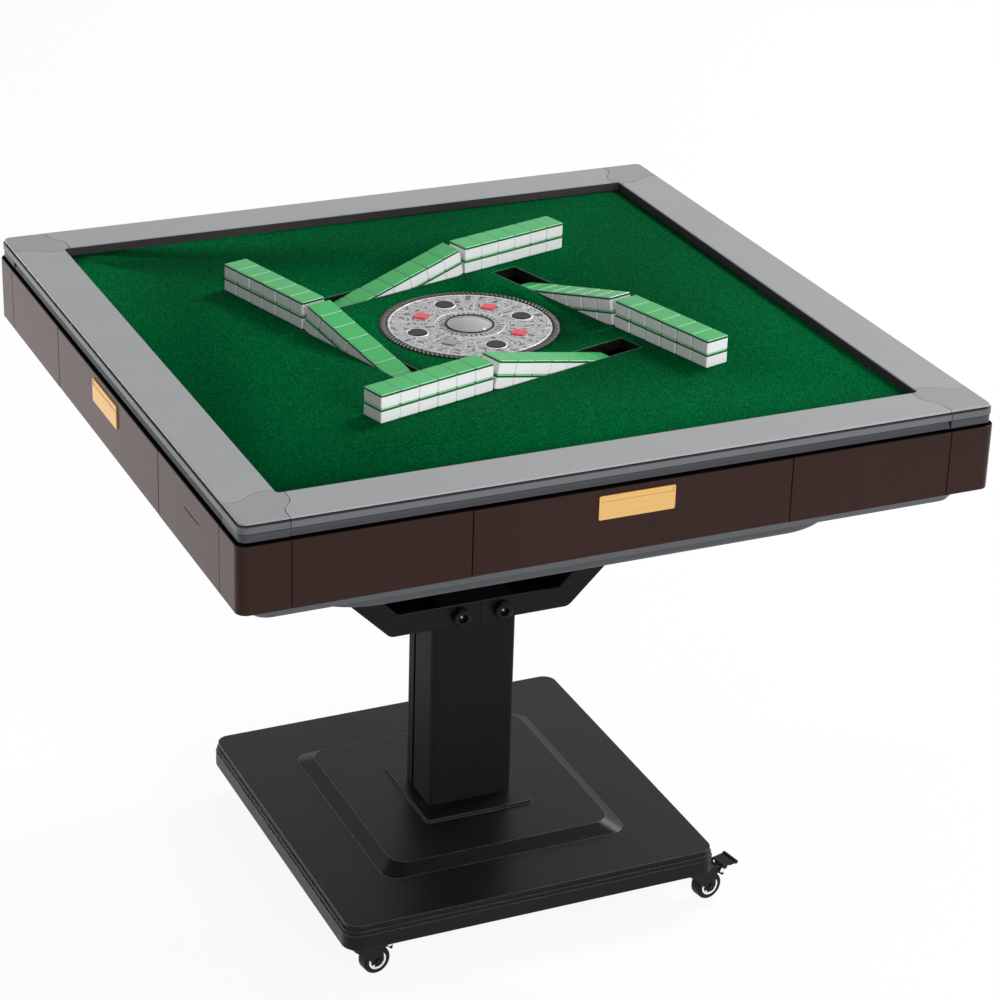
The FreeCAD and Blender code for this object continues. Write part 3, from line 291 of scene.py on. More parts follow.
# near black so the mouths in the cloth are dark inside: painted shade
BOARD_SHADE_BLACK = moulded("board_painted_shade_black", "#100e0e", vary=0.25, rough=0.75, grain=400, strength=0.3, gloss=0.1)
DISH = moulded("turntable_green", "#33735a", rough=0.55)
LINER = moulded("opening_liner", "#3d393b", rough=0.5, gloss=0.15)
# dead black for the slot between the frame and the body: painted shadow
SHADOW_BLACK = moulded("painted_shadow_black", "#050505", vary=0.2, rough=0.9, grain=900, strength=0.4, gloss=0.02)
print("plain materials", len(bpy.data.materials))

# %% [markdown]
# ## Frame material
# The rails have a pale grey top over a darker edge moulding. The groove between them and a thin strip under
# the band are painted near black: painted shade in the groove and under the band's overhang. The height on
# the frame picks the shade, so the colours change exactly where the CAD profile has its steps. The corner
# blocks also carry a fine diagonal hatch on their lower band: stripes across the sum of the three coordinates
# run diagonally on all four sides.

# %% Frame material
FRAME_LOW, FRAME_TOP = (corner.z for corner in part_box("frame_rails"))
BAND_LOW = FRAME_LOW + 0.0104
GROOVE_LOW, GROOVE_TOP = FRAME_TOP - 0.00425, FRAME_TOP - 0.00185
# heights of the painted shade under the band, on the rails and on the corners
RAIL_SHADE_LINE, CORNER_SHADE_LINE = 0.0036, 0.0016
HATCH_PITCH = 0.0034


def frame_material(name, hatched):
    """Satin grey in bands by height, with painted shade in the groove and under the band, and the hatch where
    it is asked for.
    """
    shader = Shader(name)
    axes = shader.axes()
    tall = FRAME_TOP - FRAME_LOW
    line = CORNER_SHADE_LINE if hatched else RAIL_SHADE_LINE
    height = shader.spread(axes["Z"], 0, 1, FRAME_LOW, FRAME_TOP)
    shades = shader.ramp(height, [
        (0.0, linear("#3a3c3f")),
        # painted shade under the band's overhang
        ((BAND_LOW - line - FRAME_LOW) / tall, linear("#151617")),
        ((BAND_LOW - FRAME_LOW) / tall, linear("#585a5d")),
        # painted shade in the groove
        ((GROOVE_LOW - FRAME_LOW) / tall, linear("#17181a")),
        ((GROOVE_TOP - FRAME_LOW) / tall, linear("#969899")),
    ], "CONSTANT")
    grain = shader.noise(2200, 2)
    if hatched:
        diagonal = shader.math("ADD", shader.math("ADD", axes["X"], axes["Y"]), axes["Z"])
        stripe = shader.math("SINE", shader.math("MULTIPLY", diagonal, 2 * pi / HATCH_PITCH))
        below = shader.math("LESS_THAN", axes["Z"], BAND_LOW)
        hatch = shader.math("MULTIPLY", stripe, below)
        shades = shader.dim(shades, shader.spread(hatch, 0.62, 1.12, -1, 1))
        grain = shader.math("ADD", grain, shader.math("MULTIPLY", hatch, 3.0))
    shader.feed("Base Color", shader.dim(shades, shader.spread(shader.noise(12, 4), 0.96, 1.04)))
    shader.feed("Roughness", shader.spread(shader.noise(30), 0.36, 0.46))
    shader.bump(grain, 0.1)
    shader.set(Specular_IOR_Level=0.3)
    return shader.material


FRAME = frame_material("frame_grey", False)
FRAME_CORNER = frame_material("frame_grey_hatched", True)
print("frame from", round(FRAME_LOW, 4), "to", round(FRAME_TOP, 4))

# %% [markdown]
# ## Arm material
# The bracket's arms are folded troughs. Their outsides have the satin black of the base, and everything
# between the two cheeks is painted a deeper, duller black, a painted shade for the dark inside of the trough.

# %% Arm material
CHEEK_THICK = 0.0038
CHEEK_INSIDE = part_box("bracket_arm_left")[1].y - CHEEK_THICK


def arm_material():
    """Satin black outside the cheeks and dull black between them, which is painted shade."""
    shader = Shader("arm_black_painted_shade_inside")
    across = shader.math("ABSOLUTE", shader.axes()["Y"])
    outside = shader.math("GREATER_THAN", across, CHEEK_INSIDE)
    drift = shader.spread(shader.noise(9, 4), 0.9, 1.1)
    # the near black between the cheeks is painted shade
    shades = shader.ramp(outside, [(0.0, linear("#030303")), (0.5, linear("#121111"))], "CONSTANT")
    shader.feed("Base Color", shader.dim(shades, drift))
    shader.feed("Roughness", shader.spread(outside, 0.9, 0.38))
    shader.bump(shader.noise(1800, 2), 0.12)
    shader.set(Specular_IOR_Level=0.12)
    return shader.material


ARM_BLACK_SHADED_INSIDE = arm_material()
print("inside of the cheeks at", round(CHEEK_INSIDE, 4))

# %% [markdown]
# ## Dress the CAD nodes
# A CAD edge is perfectly sharp, and a real one never is: a bevel of under a millimetre catches a thin
# line of light. On the base the bevel is also painted light grey, a painted highlight along each edge. The
# imported mesh is split along its sharp edges, so it is welded before it is bevelled.

# %% Materials and soft edges on the CAD nodes
WELD_GAP = 0.00001


def dress(names, material, edge=0.0, sharper_than=35, edge_highlight_material=None):
    """Gives nodes a material and, with edge, a bevel in millimetres that may have its own material, a painted
    highlight.
    """
    for name in names:
        obj = NODES[name]
        obj.data.materials.clear()
        obj.data.materials.append(material)
        if edge_highlight_material:
            obj.data.materials.append(edge_highlight_material)
        if edge:
            obj.modifiers.new("weld", "WELD").merge_threshold = WELD_GAP
            bevel = obj.modifiers.new("bevel", "BEVEL")
            bevel.width = edge * MM
            bevel.segments = 2
            bevel.limit_method = "ANGLE"
            bevel.angle_limit = radians(sharper_than)
            bevel.use_clamp_overlap = True
            bevel.material = 1 if edge_highlight_material else -1
            obj.modifiers.new("normals", "WEIGHTED_NORMAL").keep_sharp = False


def group(prefix, names=SIDES):
    """The names of a node that repeats on each side or corner."""
    return [prefix + name for name in names]


# the base's bevels are painted light grey: a painted highlight on each edge
dress(["base_cover"], BLACK, 0.8, 20, PAINTED_EDGE_HIGHLIGHT)
dress(["column_front_shell", "column_rear_cover"], MATT_BLACK)
dress(["bracket_arm_left", "bracket_arm_right"], ARM_BLACK_SHADED_INSIDE, 0.6)
dress(["bracket_bolts"], BLACK, 0.6)
dress(["base_frame", "chassis_frame", "power_inlet"], BLACK)
# the column's head sits in the dark trough, so it is painted near black: painted shade
dress(["column_post"], SHADE_BLACK)
dress(["underside_tray", "mixing_pan"], GREY)
dress(["body_panels", "body_corners"] + group("drawer_"), BROWN)
dress(group("drawer_pull_"), GOLD, 0.7)
dress(["frame_rails"], FRAME)
dress(["frame_corners"], FRAME_CORNER)
# the board is near black for the dark mouths: painted shade
dress(["playing_board"], BOARD_SHADE_BLACK)
dress(["drawer_runners", "console_guide", "turntable_motor"], STEEL)
dress(["mixing_turntable"], DISH)
dress(group("lift_ramp_"), DARK)
dress(group("dice_button_"), DARK, 0.4)
dress(["lift_button_front", "lift_button_right", "lift_button_back"], RED, 0.4)
dress(["lift_button_left"], BUTTON_GREY, 0.4)
dress(group("caster_fork_", CORNERS), BLACK, 0.3)
dress(group("caster_wheel_", CORNERS), RUBBER)
dress(["brake_pedal_front_left", "brake_pedal_front_right"], RUBBER, 0.4)
print("dressed", len(NODES), "nodes")

# %% [markdown]
# ## Camera
# The camera stands where the photograph's did, found by matching the frame's corners. It is turned a little
# about its own axis, because the picture's horizon isn't quite level.

# %% Camera
CAMERA_PLACE = Vector((-1.4149, -3.1732, 2.1543))
CAMERA_TARGET = Vector((0.0316, -0.0397, 0.5401))
CAMERA_ROLL = 1.81
CAMERA_LENS, SENSOR_WIDTH = 105.95, 36
camera = bpy.data.objects.new("camera", bpy.data.cameras.new("camera"))
camera.data.lens = CAMERA_LENS
camera.data.sensor_width = SENSOR_WIDTH
camera.location = CAMERA_PLACE
camera.rotation_mode = "QUATERNION"
aim = (CAMERA_TARGET - CAMERA_PLACE).to_track_quat("-Z", "Y")
camera.rotation_quaternion = aim @ Quaternion((0, 0, 1), radians(CAMERA_ROLL))
bpy.context.scene.collection.objects.link(camera)
bpy.context.scene.camera = camera
print("camera distance", round((CAMERA_TARGET - CAMERA_PLACE).length, 3))

# %% [markdown]
# ## Floor and background
# A studio cut-out has a white ground. Lighting a floor until it is white would flood the object, so the floor
# and the world show plain white to the camera, to mirrors and to glass, and light the object at a plain
# level. The floor keeps a share of its own shade, which is where the table's soft shadow lies.

# %% Floor and background
scene = bpy.context.scene
scene.view_settings.view_transform = "Standard"
FLOOR_HALF, FLOOR_WHITE = 30, 0.9
WORLD_LEVEL = 0.31


def white_when_seen(tree, shader, output, share):
    """Mixes in plain white for rays that see the surface straight, in a mirror or through glass."""
    path = tree.nodes.new("ShaderNodeLightPath")
    white = tree.nodes.new("ShaderNodeEmission")
    white.inputs["Color"].default_value = (1, 1, 1, 1)
    seen = path.outputs["Is Camera Ray"]
    for kind in ("Is Glossy Ray", "Is Transmission Ray"):
        either = tree.nodes.new("ShaderNodeMath")
        either.operation = "MAXIMUM"
        tree.links.new(seen, either.inputs[0])
        tree.links.new(path.outputs[kind], either.inputs[1])
        seen = either.outputs[0]
    factor = tree.nodes.new("ShaderNodeMath")
    factor.operation = "MULTIPLY"
    factor.inputs[1].default_value = share
    mix = tree.nodes.new("ShaderNodeMixShader")
    tree.links.new(seen, factor.inputs[0])
    tree.links.new(factor.outputs[0], mix.inputs[0])
    tree.links.new(shader, mix.inputs[1])
    tree.links.new(white.outputs[0], mix.inputs[2])
    tree.links.new(mix.outputs[0], output)


floor_data = bmesh.new()
bmesh.ops.create_grid(floor_data, x_segments=1, y_segments=1, size=FLOOR_HALF)
floor_mesh = bpy.data.meshes.new("floor")
floor_data.to_mesh(floor_mesh)
floor_data.free()
floor = bpy.data.objects.new("floor", floor_mesh)
scene.collection.objects.link(floor)
floor_shader = Shader("floor_white")
floor_shader.set(Base_Color=(0.9, 0.9, 0.9, 1), Roughness=0.9)
floor_output = floor_shader.tree.nodes["Material Output"].inputs["Surface"]
white_when_seen(floor_shader.tree, floor_shader.base.outputs[0], floor_output, FLOOR_WHITE)
floor.data.materials.append(floor_shader.material)

world = bpy.data.worlds.new("studio")
scene.world = world
world.use_nodes = True
backdrop = world.node_tree.nodes["Background"]
backdrop.inputs["Color"].default_value = (0.93, 0.94, 0.96, 1)
backdrop.inputs["Strength"].default_value = WORLD_LEVEL
world_output = world.node_tree.nodes["World Output"].inputs["Surface"]
white_when_seen(world.node_tree, backdrop.outputs[0], world_output, 1.0)
print("background", world.name)

# %% [markdown]
# ## Lamps
# The main lamp stands far off to the right and above, which shades the left ends of the tiles and throws a
# soft shadow beside each wall. A wide one in front lifts the panels and the tiles' faces. Both are big and
# far away, so the light falls evenly from one end of the table to the other. A small one on the left stands
# below the top, so it warms the brown side without touching the tiles. The front and left lamps are fills, so
# they leave no highlight of their own.

# %% Lamps
def softbox(name, place, target, size, power, shine=True):
    """A square area light that faces a point, with or without a highlight."""
    data = bpy.data.lights.new(name, "AREA")
    data.size = size
    data.energy = power
    lamp = bpy.data.objects.new(name, data)
    lamp.location = place
    lamp.rotation_mode = "QUATERNION"
    lamp.rotation_quaternion = (Vector(target) - Vector(place)).to_track_quat("-Z", "Y")
    lamp.visible_camera = False
    lamp.visible_glossy = shine
    scene.collection.objects.link(lamp)


TABLE_MIDDLE, LEFT_SIDE = (0, 0, 0.7), (-0.47, 0.2, 0.66)
softbox("key", (5.8, 2.3, 6.2), TABLE_MIDDLE, 2.6, 500)
softbox("front", (0.9, -4.2, 1.9), TABLE_MIDDLE, 2.6, 165, shine=False)
softbox("left", (-2.4, 1.5, 0.3), LEFT_SIDE, 0.5, 92, shine=False)

# %% [markdown]
# ## Playing cloth
# The cloth is one sheet stretched over the board, tucked under the frame and cut out round the console and
# the four mouths. It is drawn as outlines and filled, so its cut edges are clean. Felt drinks light, so it
# has no gloss at all: a fine fleck of fibres in the colour and in the bump makes it read as cloth.

# %% Cloth
CLOTH_LOW, CLOTH_TOP = (corner.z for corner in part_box("playing_cloth"))
CLOTH_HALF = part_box("playing_cloth")[1].x
CONSOLE_HOLE, HOLE_STEPS = 0.108, 128
WALL_ANGLE = 15.8
WALL_START = Vector((-0.222, -0.251, 0))
MOUTH = (0.16981, 0.41056, -0.00125, 0.03625)
ON_WALL = Matrix.Translation(WALL_START) @ about_z(WALL_ANGLE)


def cloth_material():
    """Green felt: a fleck of fibres over a faint weave."""
    shader = Shader("green_cloth")
    colour = linear("#005c2f")
    fibre = shader.noise(560, 3)
    threads = [shader.add("ShaderNodeTexWave", bands_direction=way) for way in ("X", "Y")]
    for wave in threads:
        wave.inputs["Scale"].default_value = 220
        wave.inputs["Distortion"].default_value = 0.6
        shader.link(shader.where, wave.inputs["Vector"])
    weave = shader.math("MULTIPLY", threads[0].outputs["Fac"], threads[1].outputs["Fac"])
    shade = shader.math("ADD", shader.math("MULTIPLY", weave, 0.25), shader.math("MULTIPLY", fibre, 0.75))
    shader.feed("Base Color", shader.ramp(shade, [(0.38, tint(colour, -0.65)), (0.6, tint(colour, 0.7))]))
    shader.bump(shader.math("ADD", weave, fibre), 0.3, 0.0003)
    shader.set(Roughness=1.0, Specular_IOR_Level=0.02)
    return shader.material


def cloth_outlines():
    """The sheet's outside, the console's hole and the four mouths."""
    h = CLOTH_HALF
    loops = [[Vector((x, y, 0)) for x, y in ((-h, -h), (h, -h), (h, h), (-h, h))]]
    rim = Vector((CONSOLE_HOLE, 0, 0))
    loops.append([about_z(360 * n / HOLE_STEPS) @ rim for n in range(HOLE_STEPS)])
    u0, u1, v0, v1 = MOUTH
    for degrees in SIDES.values():
        place = about_z(degrees) @ ON_WALL
        loops.append([place @ Vector((u, v, 0)) for u, v in ((u0, v0), (u1, v0), (u1, v1), (u0, v1))])
    return loops


cloth_data = bmesh.new()
for loop in cloth_outlines():
    corners = [cloth_data.verts.new(p + Vector((0, 0, CLOTH_TOP))) for p in loop]
    for a, b in zip(corners, corners[1:] + corners[:1]):
        cloth_data.edges.new((a, b))
bmesh.ops.triangle_fill(cloth_data, use_beauty=True, edges=cloth_data.edges[:], normal=(0, 0, 1))
CLOTH_AREA = sum(face.calc_area() for face in cloth_data.faces)
cloth = piece("cloth_sheet", cloth_data, [cloth_material()], "table", ["playing_cloth"])
thick = cloth.modifiers.new("thickness", "SOLIDIFY")
thick.thickness = CLOTH_TOP - CLOTH_LOW
thick.offset = -1
print("cloth area", round(CLOTH_AREA, 4), "m2")

# %% [markdown]
# ## Strips round the square
# Three thin strips finish the edges. A dark liner covers the inner wall of the frame, a black strip of
# painted shadow fills the slot between the frame and the brown body, and a fine grey trim edges each mouth in
# the cloth.

# %% Liner, painted shadow strip and mouth trims
OPENING_HALF, OPENING_RADIUS = 0.410, 0.004
BODY_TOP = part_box("body_panels")[1].z
BODY_HALF, BODY_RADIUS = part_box("body_corners")[1].x, 0.013
LINER_THICK, LINER_TOP = 0.00035, FRAME_TOP - 0.0011
liner = bmesh.new()
square_strip(liner, OPENING_HALF, OPENING_RADIUS, [
    (0, CLOTH_TOP), (0, LINER_TOP), (LINER_THICK, LINER_TOP), (LINER_THICK, CLOTH_TOP),
])
piece("opening_liner", liner, [LINER], "table", smooth=False)

# a black strip that fills the slot under the frame: painted shadow
shadow_strip = bmesh.new()
SHADOW_STRIP_LOW = BODY_TOP + 0.00005
FOOT_OUT, FOOT_RISE = 0.0011, 0.0005
WALL_OUT, WALL_IN = 0.0096, 0.0104
square_strip(shadow_strip, BODY_HALF, BODY_RADIUS, [
    (FOOT_OUT, SHADOW_STRIP_LOW), (FOOT_OUT, SHADOW_STRIP_LOW + FOOT_RISE), (WALL_OUT, SHADOW_STRIP_LOW + FOOT_RISE),
    (WALL_OUT, FRAME_LOW), (WALL_IN, FRAME_LOW), (WALL_IN, SHADOW_STRIP_LOW),
])
piece("painted_shadow_strip", shadow_strip, [SHADOW_BLACK], "table", smooth=False)

TRIM_WIDTH, TRIM_RISE = 0.0009, 0.0003


def bar(mesh_data, place, low, high):
    """Adds a straight square bar between two opposite corners."""
    middle = Matrix.Translation((Vector(low) + Vector(high)) / 2)
    size = Vector(high) - Vector(low)
    bmesh.ops.create_cube(mesh_data, size=1, matrix=place @ middle @ Matrix.Diagonal((*size, 1)))


trims = bmesh.new()
u0, u1, v0, v1 = MOUTH
for degrees in SIDES.values():
    place = about_z(degrees) @ ON_WALL @ Matrix.Translation((0, 0, CLOTH_TOP))
    bar(trims, place, (u0, v0 - TRIM_WIDTH, 0), (u1, v0, TRIM_RISE))
    bar(trims, place, (u0, v1, 0), (u1, v1 + TRIM_WIDTH, TRIM_RISE))
    bar(trims, place, (u1, v0 - TRIM_WIDTH, 0), (u1 + TRIM_WIDTH, v1 + TRIM_WIDTH, TRIM_RISE))
piece("mouth_trims", trims, [GREY], "table", smooth=False)
print("gasket slot", round((FRAME_LOW - BODY_TOP) / MM, 2), "mm")

# %% [markdown]
# ## Tiles
# A tile is a white block with a green back. One tile is made with rounded edges and a cut where the two
# colours meet, then copied along each wall. The side of the green layer is painted a deeper green than its
# top, a painted shade, and the rounding between them a pale green, a painted highlight. The last stacks ride
# on the ramp, which tilts them.

# %% Tiles
TILE_LENGTH, TILE_WIDTH, TILE_HEIGHT = 0.035, 0.0282, 0.0183
TILE_PITCH = 0.02846
FLAT_STACKS, RAMP_STACKS = 6, 7
GREEN_BACK = 0.0034
ROUND, ROUND_STEPS = 0.0019, 3
TOP_SLOPE, HIGHLIGHT_SLOPE = 0.85, 0.5
OUT_OF_LINE = 0.0003


def make_tile():
    """One tile with its corner at the origin: white, then the green top, the side in painted shade and the
    rim in painted highlight.
    """
    mesh_data = bmesh.new()
    bmesh.ops.create_cube(mesh_data, size=1)
    size = Vector((TILE_WIDTH, TILE_LENGTH, TILE_HEIGHT))
    bmesh.ops.scale(mesh_data, vec=size, verts=mesh_data.verts)
    bmesh.ops.translate(mesh_data, vec=size / 2, verts=mesh_data.verts)
    bmesh.ops.bevel(mesh_data, geom=mesh_data.edges[:], offset=ROUND, segments=ROUND_STEPS, profile=0.5,
                    affect="EDGES")
    level = TILE_HEIGHT - GREEN_BACK
    everything = mesh_data.verts[:] + mesh_data.edges[:] + mesh_data.faces[:]
    bmesh.ops.bisect_plane(mesh_data, geom=everything, plane_co=(0, 0, level), plane_no=(0, 0, 1))
    mesh_data.normal_update()
    for face in mesh_data.faces:
        if face.calc_center_median().z > level:
            up = face.normal.z
            # index 2 is painted shade on the green layer's side, index 3 a painted highlight on its rounding
            face.material_index = 1 if up > TOP_SLOPE else 3 if up > HIGHLIGHT_SLOPE else 2
    mesh = bpy.data.meshes.new("one_tile")
    mesh_data.to_mesh(mesh)
    mesh_data.free()
    return mesh


def tile_row(mesh, place, start, stacks):
    """A bmesh of stacks of two, each tile a hair out of line, as hands leave them."""
    row = bmesh.new()
    for n in range(stacks):
        for layer in range(2):
            shift = Vector((start + n * TILE_PITCH, 0, CLOTH_TOP + layer * TILE_HEIGHT))
            nudge = Vector((0, random.uniform(-1, 1) * OUT_OF_LINE, 0))
            first = len(row.verts)
            row.from_mesh(mesh)
            row.verts.ensure_lookup_table()
            spot = place @ Matrix.Translation(shift + nudge)
            bmesh.ops.transform(row, matrix=spot, verts=row.verts[first:])
    return row


random.seed(7)
one_tile = make_tile()
TILE_FINISH = [WHITE, GREEN, GREEN_SIDE_SHADE, GREEN_RIM_HIGHLIGHT]
RAMP_START = FLAT_STACKS * TILE_PITCH + 0.0003
for side, degrees in SIDES.items():
    turn = about_z(degrees)
    flat = tile_row(one_tile, turn @ ON_WALL, 0, FLAT_STACKS)
    piece("wall_tiles_" + side, flat, TILE_FINISH, "table", ["tile_walls"], smooth=False)
    hinge = JOINTS[f"ramp_{side}_lift"]
    pin = Matrix.Translation(hinge["pos_m"])
    tilt = Matrix.Rotation(-radians(hinge["range_deg"][1]), 4, Vector(hinge["axis"]))
    down = pin @ tilt @ pin.inverted()
    sloping = tile_row(one_tile, down @ turn @ ON_WALL, RAMP_START, RAMP_STACKS)
    piece("ramp_row_" + side, sloping, TILE_FINISH, "ramp_" + side, ["ramp_tiles_" + side],
          smooth=False)
bpy.data.meshes.remove(one_tile)
print("tiles", 4 * 2 * (FLAT_STACKS + RAMP_STACKS))

# %% [markdown]
# ## Console ring
# A rope moulding runs round the console: a dark ring with slanted ridges on it. Modelling a twisted rope
# would take a great many faces for something a millimetre and a half high, so each strand is a small ridge
# laid across a flat ring at a slant.

# %% Rope ring
RING_TOP, RING_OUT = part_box("console_ring")[1].z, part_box("console_ring")[1].y
RING_IN = 0.1054
RING_LOW = CLOTH_TOP + 0.0003
RING_THICK, RING_CHAMFER = 0.0007, 0.0008
ROPE_STRANDS, ROPE_SLANT = 112, 34
STRAND_LONG, STRAND_WIDE, STRAND_SUNK = 0.0108, 0.0026, 0.0001


def ridge(mesh_data, place, length, width, height):
    """A small raised leaf that lies along X, with a ridge down its middle."""
    spine, edges = [], []
    steps = 6
    for n in range(steps + 1):
        t = n / steps
        half = width / 2 * sin(pi * t) ** 0.5 if 0 < t < 1 else 0.0
        spine.append(mesh_data.verts.new(place @ Vector((length * t, 0, height * sin(pi * t) ** 0.5))))
        edges.append([mesh_data.verts.new(place @ Vector((length * t, s * half, 0))) for s in (-1, 1)])
    for n in range(steps):
        for side in (0, 1):
            corners = [edges[n][side], edges[n + 1][side], spine[n + 1], spine[n]]
            mesh_data.faces.new(corners if side == 0 else corners[::-1])


ring_data = bmesh.new()
lathe(ring_data, [
    (RING_IN, RING_LOW), (RING_OUT, RING_LOW), (RING_OUT - RING_CHAMFER, RING_LOW + RING_THICK),
    (RING_IN, RING_LOW + RING_THICK),
], 180)
ROPE_GROUND = moulded("rope_ground", "#141213", vary=0.1, rough=0.5, gloss=0.08)
piece("console_ring_ground", ring_data, [ROPE_GROUND], "console", ["console_ring"])
strands = bmesh.new()
STRAND_LOW = RING_LOW + RING_THICK - STRAND_SUNK
for n in range(ROPE_STRANDS):
    middle = Matrix.Translation(((RING_IN + RING_OUT) / 2, 0, STRAND_LOW))
    slant = about_z(ROPE_SLANT) @ Matrix.Translation((-STRAND_LONG / 2, 0, 0))
    ridge(strands, about_z(360 * n / ROPE_STRANDS) @ middle @ slant, STRAND_LONG, STRAND_WIDE,
          RING_TOP - STRAND_LOW)
ROPE = moulded("rope_strand", "#6f6a69", vary=0.1, rough=0.4)
piece("console_rope", strands, [ROPE], "console")
print("rope strands", ROPE_STRANDS)

# %% [markdown]
# ## Console face
# The console's disc carries a printed ornament in greys. A drawing would need an image, so the print is made
# from two families of spirals that cross, with a noise that makes them wander: lines like scrolls come out
# where they meet. The stem below the disc has no print, so the ornament stops a little under the top.

# %% Console face material
FACE_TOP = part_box("console_plate")[1].z
PRINT_DEPTH, PLAIN_SHADE = 0.004, 0.64
SPIRALS, SPIRAL_PITCH, WANDER = 8, 170, 16.0
PRINT_SHADES = (
    (0.0, "#4a4a4b"), (0.15, "#6f6f70"), (0.22, "#ececec"), (0.3, "#939394"), (0.5, "#b2b2b3"),
    (0.64, "#767677"), (0.73, "#e8e8e8"), (0.82, "#9a9a9b"), (0.94, "#505051"),
)


def console_material():
    """Grey print of crossing spirals on the disc, plain grey on the stem."""
    shader = Shader("console_face")
    axes = shader.axes()
    x, y = axes["X"], axes["Y"]
    angle = shader.math("ARCTAN2", y, x)
    square = shader.math("ADD", shader.math("MULTIPLY", x, x), shader.math("MULTIPLY", y, y))
    radius = shader.math("SQRT", square)
    wander = shader.math("MULTIPLY", shader.noise(48, 4), WANDER)
    swing = shader.math("ADD", shader.math("MULTIPLY", radius, SPIRAL_PITCH), wander)
    turns = shader.math("MULTIPLY", angle, SPIRALS)
    one = shader.math("SINE", shader.math("ADD", turns, swing))
    other = shader.math("SINE", shader.math("SUBTRACT", turns, swing))
    scroll = shader.spread(shader.math("MULTIPLY", one, other), 0, 1, -1, 1)
    on_top = shader.math("GREATER_THAN", axes["Z"], FACE_TOP - PRINT_DEPTH)
    plain = shader.spread(on_top, PLAIN_SHADE, 0.0)
    scroll = shader.math("ADD", shader.math("MULTIPLY", scroll, on_top), plain)
    shader.feed("Base Color", shader.ramp(scroll, [(place, linear(code)) for place, code in PRINT_SHADES]))
    shader.bump(scroll, 0.15, 0.0002)
    shader.set(Roughness=0.42, Specular_IOR_Level=0.3)
    return shader.material


dress(["console_plate"], console_material())
print("console face at", round(FACE_TOP, 4))

# %% [markdown]
# ## Console rings
# A pale ring runs near the disc's edge and another round the dome, each round button sits in a bright bezel,
# and the dome in a dark one with ticks about it. All of these stand up by a millimetre or less, so they are
# turned on the lathe and catch light as real rings do.

# %% Rings and bezels of the console
BUTTON_RING, BUTTON_TURN, BUTTON_RADIUS = 0.0735, 3, 0.012
DOME_RADIUS, DOME_BEZEL = 0.0286, 0.0318
PALE_RINGS = ((0.0447, 0.0010), (0.1030, 0.0014))
BEZEL_GAP, BEZEL_WIDE = 0.0006, 0.0022
RING_SUNK, RING_RISE, BEZEL_RISE = 0.0002, 0.0005, 0.0010
TICKS, TICK_START, TICK_LONG, TICK_WIDE, TICK_RISE = 36, 0.0338, 0.0062, 0.0022, 0.0004
pale = bmesh.new()
SUNK = FACE_TOP - RING_SUNK
for radius, width in PALE_RINGS:
    lathe(pale, bead(radius, width, SUNK, FACE_TOP + RING_RISE), 160)
for degrees in SIDES.values():
    at = about_z(degrees + BUTTON_TURN) @ Matrix.Translation((BUTTON_RING, 0, 0))
    bezel = BUTTON_RADIUS + BEZEL_GAP + BEZEL_WIDE / 2
    lathe(pale, bead(bezel, BEZEL_WIDE, SUNK, FACE_TOP + BEZEL_RISE), 48, at)
piece("console_rings", pale, [SILVER], "console")

dark = bmesh.new()
for n in range(TICKS):
    at = about_z(360 * n / TICKS) @ Matrix.Translation((TICK_START, 0, FACE_TOP))
    ridge(dark, at, TICK_LONG, TICK_WIDE, TICK_RISE)
DOME_SEAT, DOME_RISE = FACE_TOP + 0.0011, 0.0010
collar = bead((DOME_RADIUS + DOME_BEZEL) / 2, DOME_BEZEL - DOME_RADIUS, DOME_SEAT, DOME_SEAT + DOME_RISE)
lathe(dark, collar, 96)
piece("dome_bezel", dark, [DARK], "console")
print("console rings", len(SIDES) + 2)

# %% [markdown]
# ## Dome
# The dice turn under a clear dome over a grey plate. A surface that lets a quarter of the light through and
# scatters the rest looks like the plate seen through the plastic.

# %% Dome
def dome_material():
    """Clear plastic over a grey plate."""
    shader = Shader("dome_clear")
    shader.feed("Roughness", shader.spread(shader.noise(300), 0.08, 0.14))
    shader.set(Base_Color=linear("#b4b6b8"), Transmission_Weight=0.25, IOR=1.49)
    return shader.material


dress(["dice_dome"], dome_material())
print("dome radius", DOME_RADIUS)

# %% [markdown]
# ## Casters
# Each wheel has a pale rim ring and a spoked hub on both sides, and each brake pedal has bright rivets. They
# ride on the wheel or the pedal, so that they turn with it.

# %% Wheel rims and rivets
WHEEL_HALF = 0.009
RIM_RADIUS, RIM_WIDE, RIM_SUNK, RIM_PROUD = 0.0113, 0.0032, 0.0018, 0.0002
SPOKES, SPOKE_START, SPOKE_SUNK = 6, 0.0068, 0.0019
SPOKE_LONG, SPOKE_WIDE, SPOKE_RISE = 0.0042, 0.0028, 0.0012
RIM = moulded("wheel_rim", "#e6e6e8", vary=0.03, rough=0.25)


def wheel_place(corner):
    """The wheel's middle, with its axle along local Z."""
    joint = JOINTS[f"caster_{corner}_roll"]
    spin = Vector(joint["axis"]).to_track_quat("Z", "Y").to_matrix().to_4x4()
    return Matrix.Translation(joint["pos_m"]) @ spin


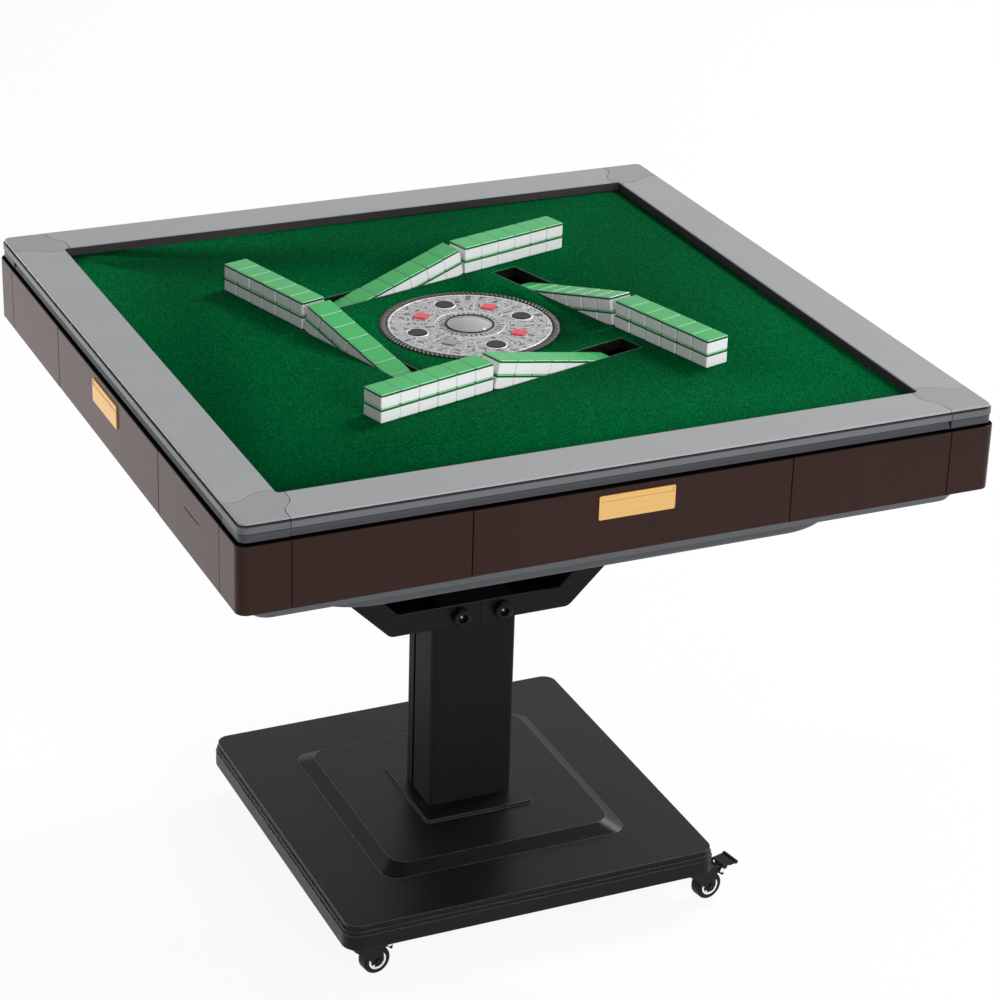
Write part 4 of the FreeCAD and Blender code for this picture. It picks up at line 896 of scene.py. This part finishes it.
for corner in CORNERS:
    rims = bmesh.new()
    for flip in (0, 180):
        at = wheel_place(corner) @ Matrix.Rotation(radians(flip), 4, "X")
        lathe(rims, bead(RIM_RADIUS, RIM_WIDE, WHEEL_HALF - RIM_SUNK, WHEEL_HALF + RIM_PROUD), 64, at)
        for n in range(SPOKES):
            start = Matrix.Translation((SPOKE_START, 0, WHEEL_HALF - SPOKE_SUNK))
            ridge(rims, at @ about_z(360 * n / SPOKES) @ start, SPOKE_LONG, SPOKE_WIDE, SPOKE_RISE)
    piece("wheel_rims_" + corner, rims, [RIM], "wheel_" + corner)

RIVET = [(0.00002, 0), (0.0033, 0), (0.0031, 0.0009), (0.0020, 0.0017), (0.00002, 0.0020)]
RIVET_SPOTS = ((0.0, 0.0), (0.0105, 0.0012))
PEDAL_HALF = 0.0136
for corner in ("front_left", "front_right"):
    joint = JOINTS[f"brake_{corner}_press"]
    along = Vector(joint["axis"])
    forward = along.cross(Vector((0, 0, 1)))
    rivets = bmesh.new()
    for sign in (-1, 1):
        face = (along * sign).to_track_quat("Z", "Y").to_matrix().to_4x4()
        for ahead, up in RIVET_SPOTS:
            aside = along * sign * PEDAL_HALF
            spot = Vector(joint["pos_m"]) + forward * ahead + Vector((0, 0, up)) + aside
            lathe(rivets, RIVET, 24, Matrix.Translation(spot) @ face)
    piece("pedal_rivets_" + corner, rivets, [RIM], "pedal_" + corner)
print("rims", len(CORNERS))

# %% [markdown]
# ## Bolts
# The four bolts that clamp the bracket to the column's head have a six-sided socket. Its floor is bare steel
# that catches the light, so a small disc with a worn dimple goes into each.

# %% Bolt sockets
BOLT_X, BOLT_Z, SOCKET_FLOOR = 0.0295, 0.3927, 0.064
GLINT = [
    (0.00002, 0.0002), (0.0007, 0.0003), (0.0014, 0.0007), (0.0018, 0.0008),
    (0.0018, 0.00002), (0.00002, 0.00002),
]
glints = bmesh.new()
for turn in (0, 180):
    for x in (-BOLT_X, BOLT_X):
        spot = about_z(turn) @ Matrix.Translation((x, -SOCKET_FLOOR, BOLT_Z))
        lathe(glints, GLINT, 24, spot @ Matrix.Rotation(pi / 2, 4, "X"))
piece("bolt_socket_floors", glints, [STEEL], "table")
print("bolt sockets", 4)
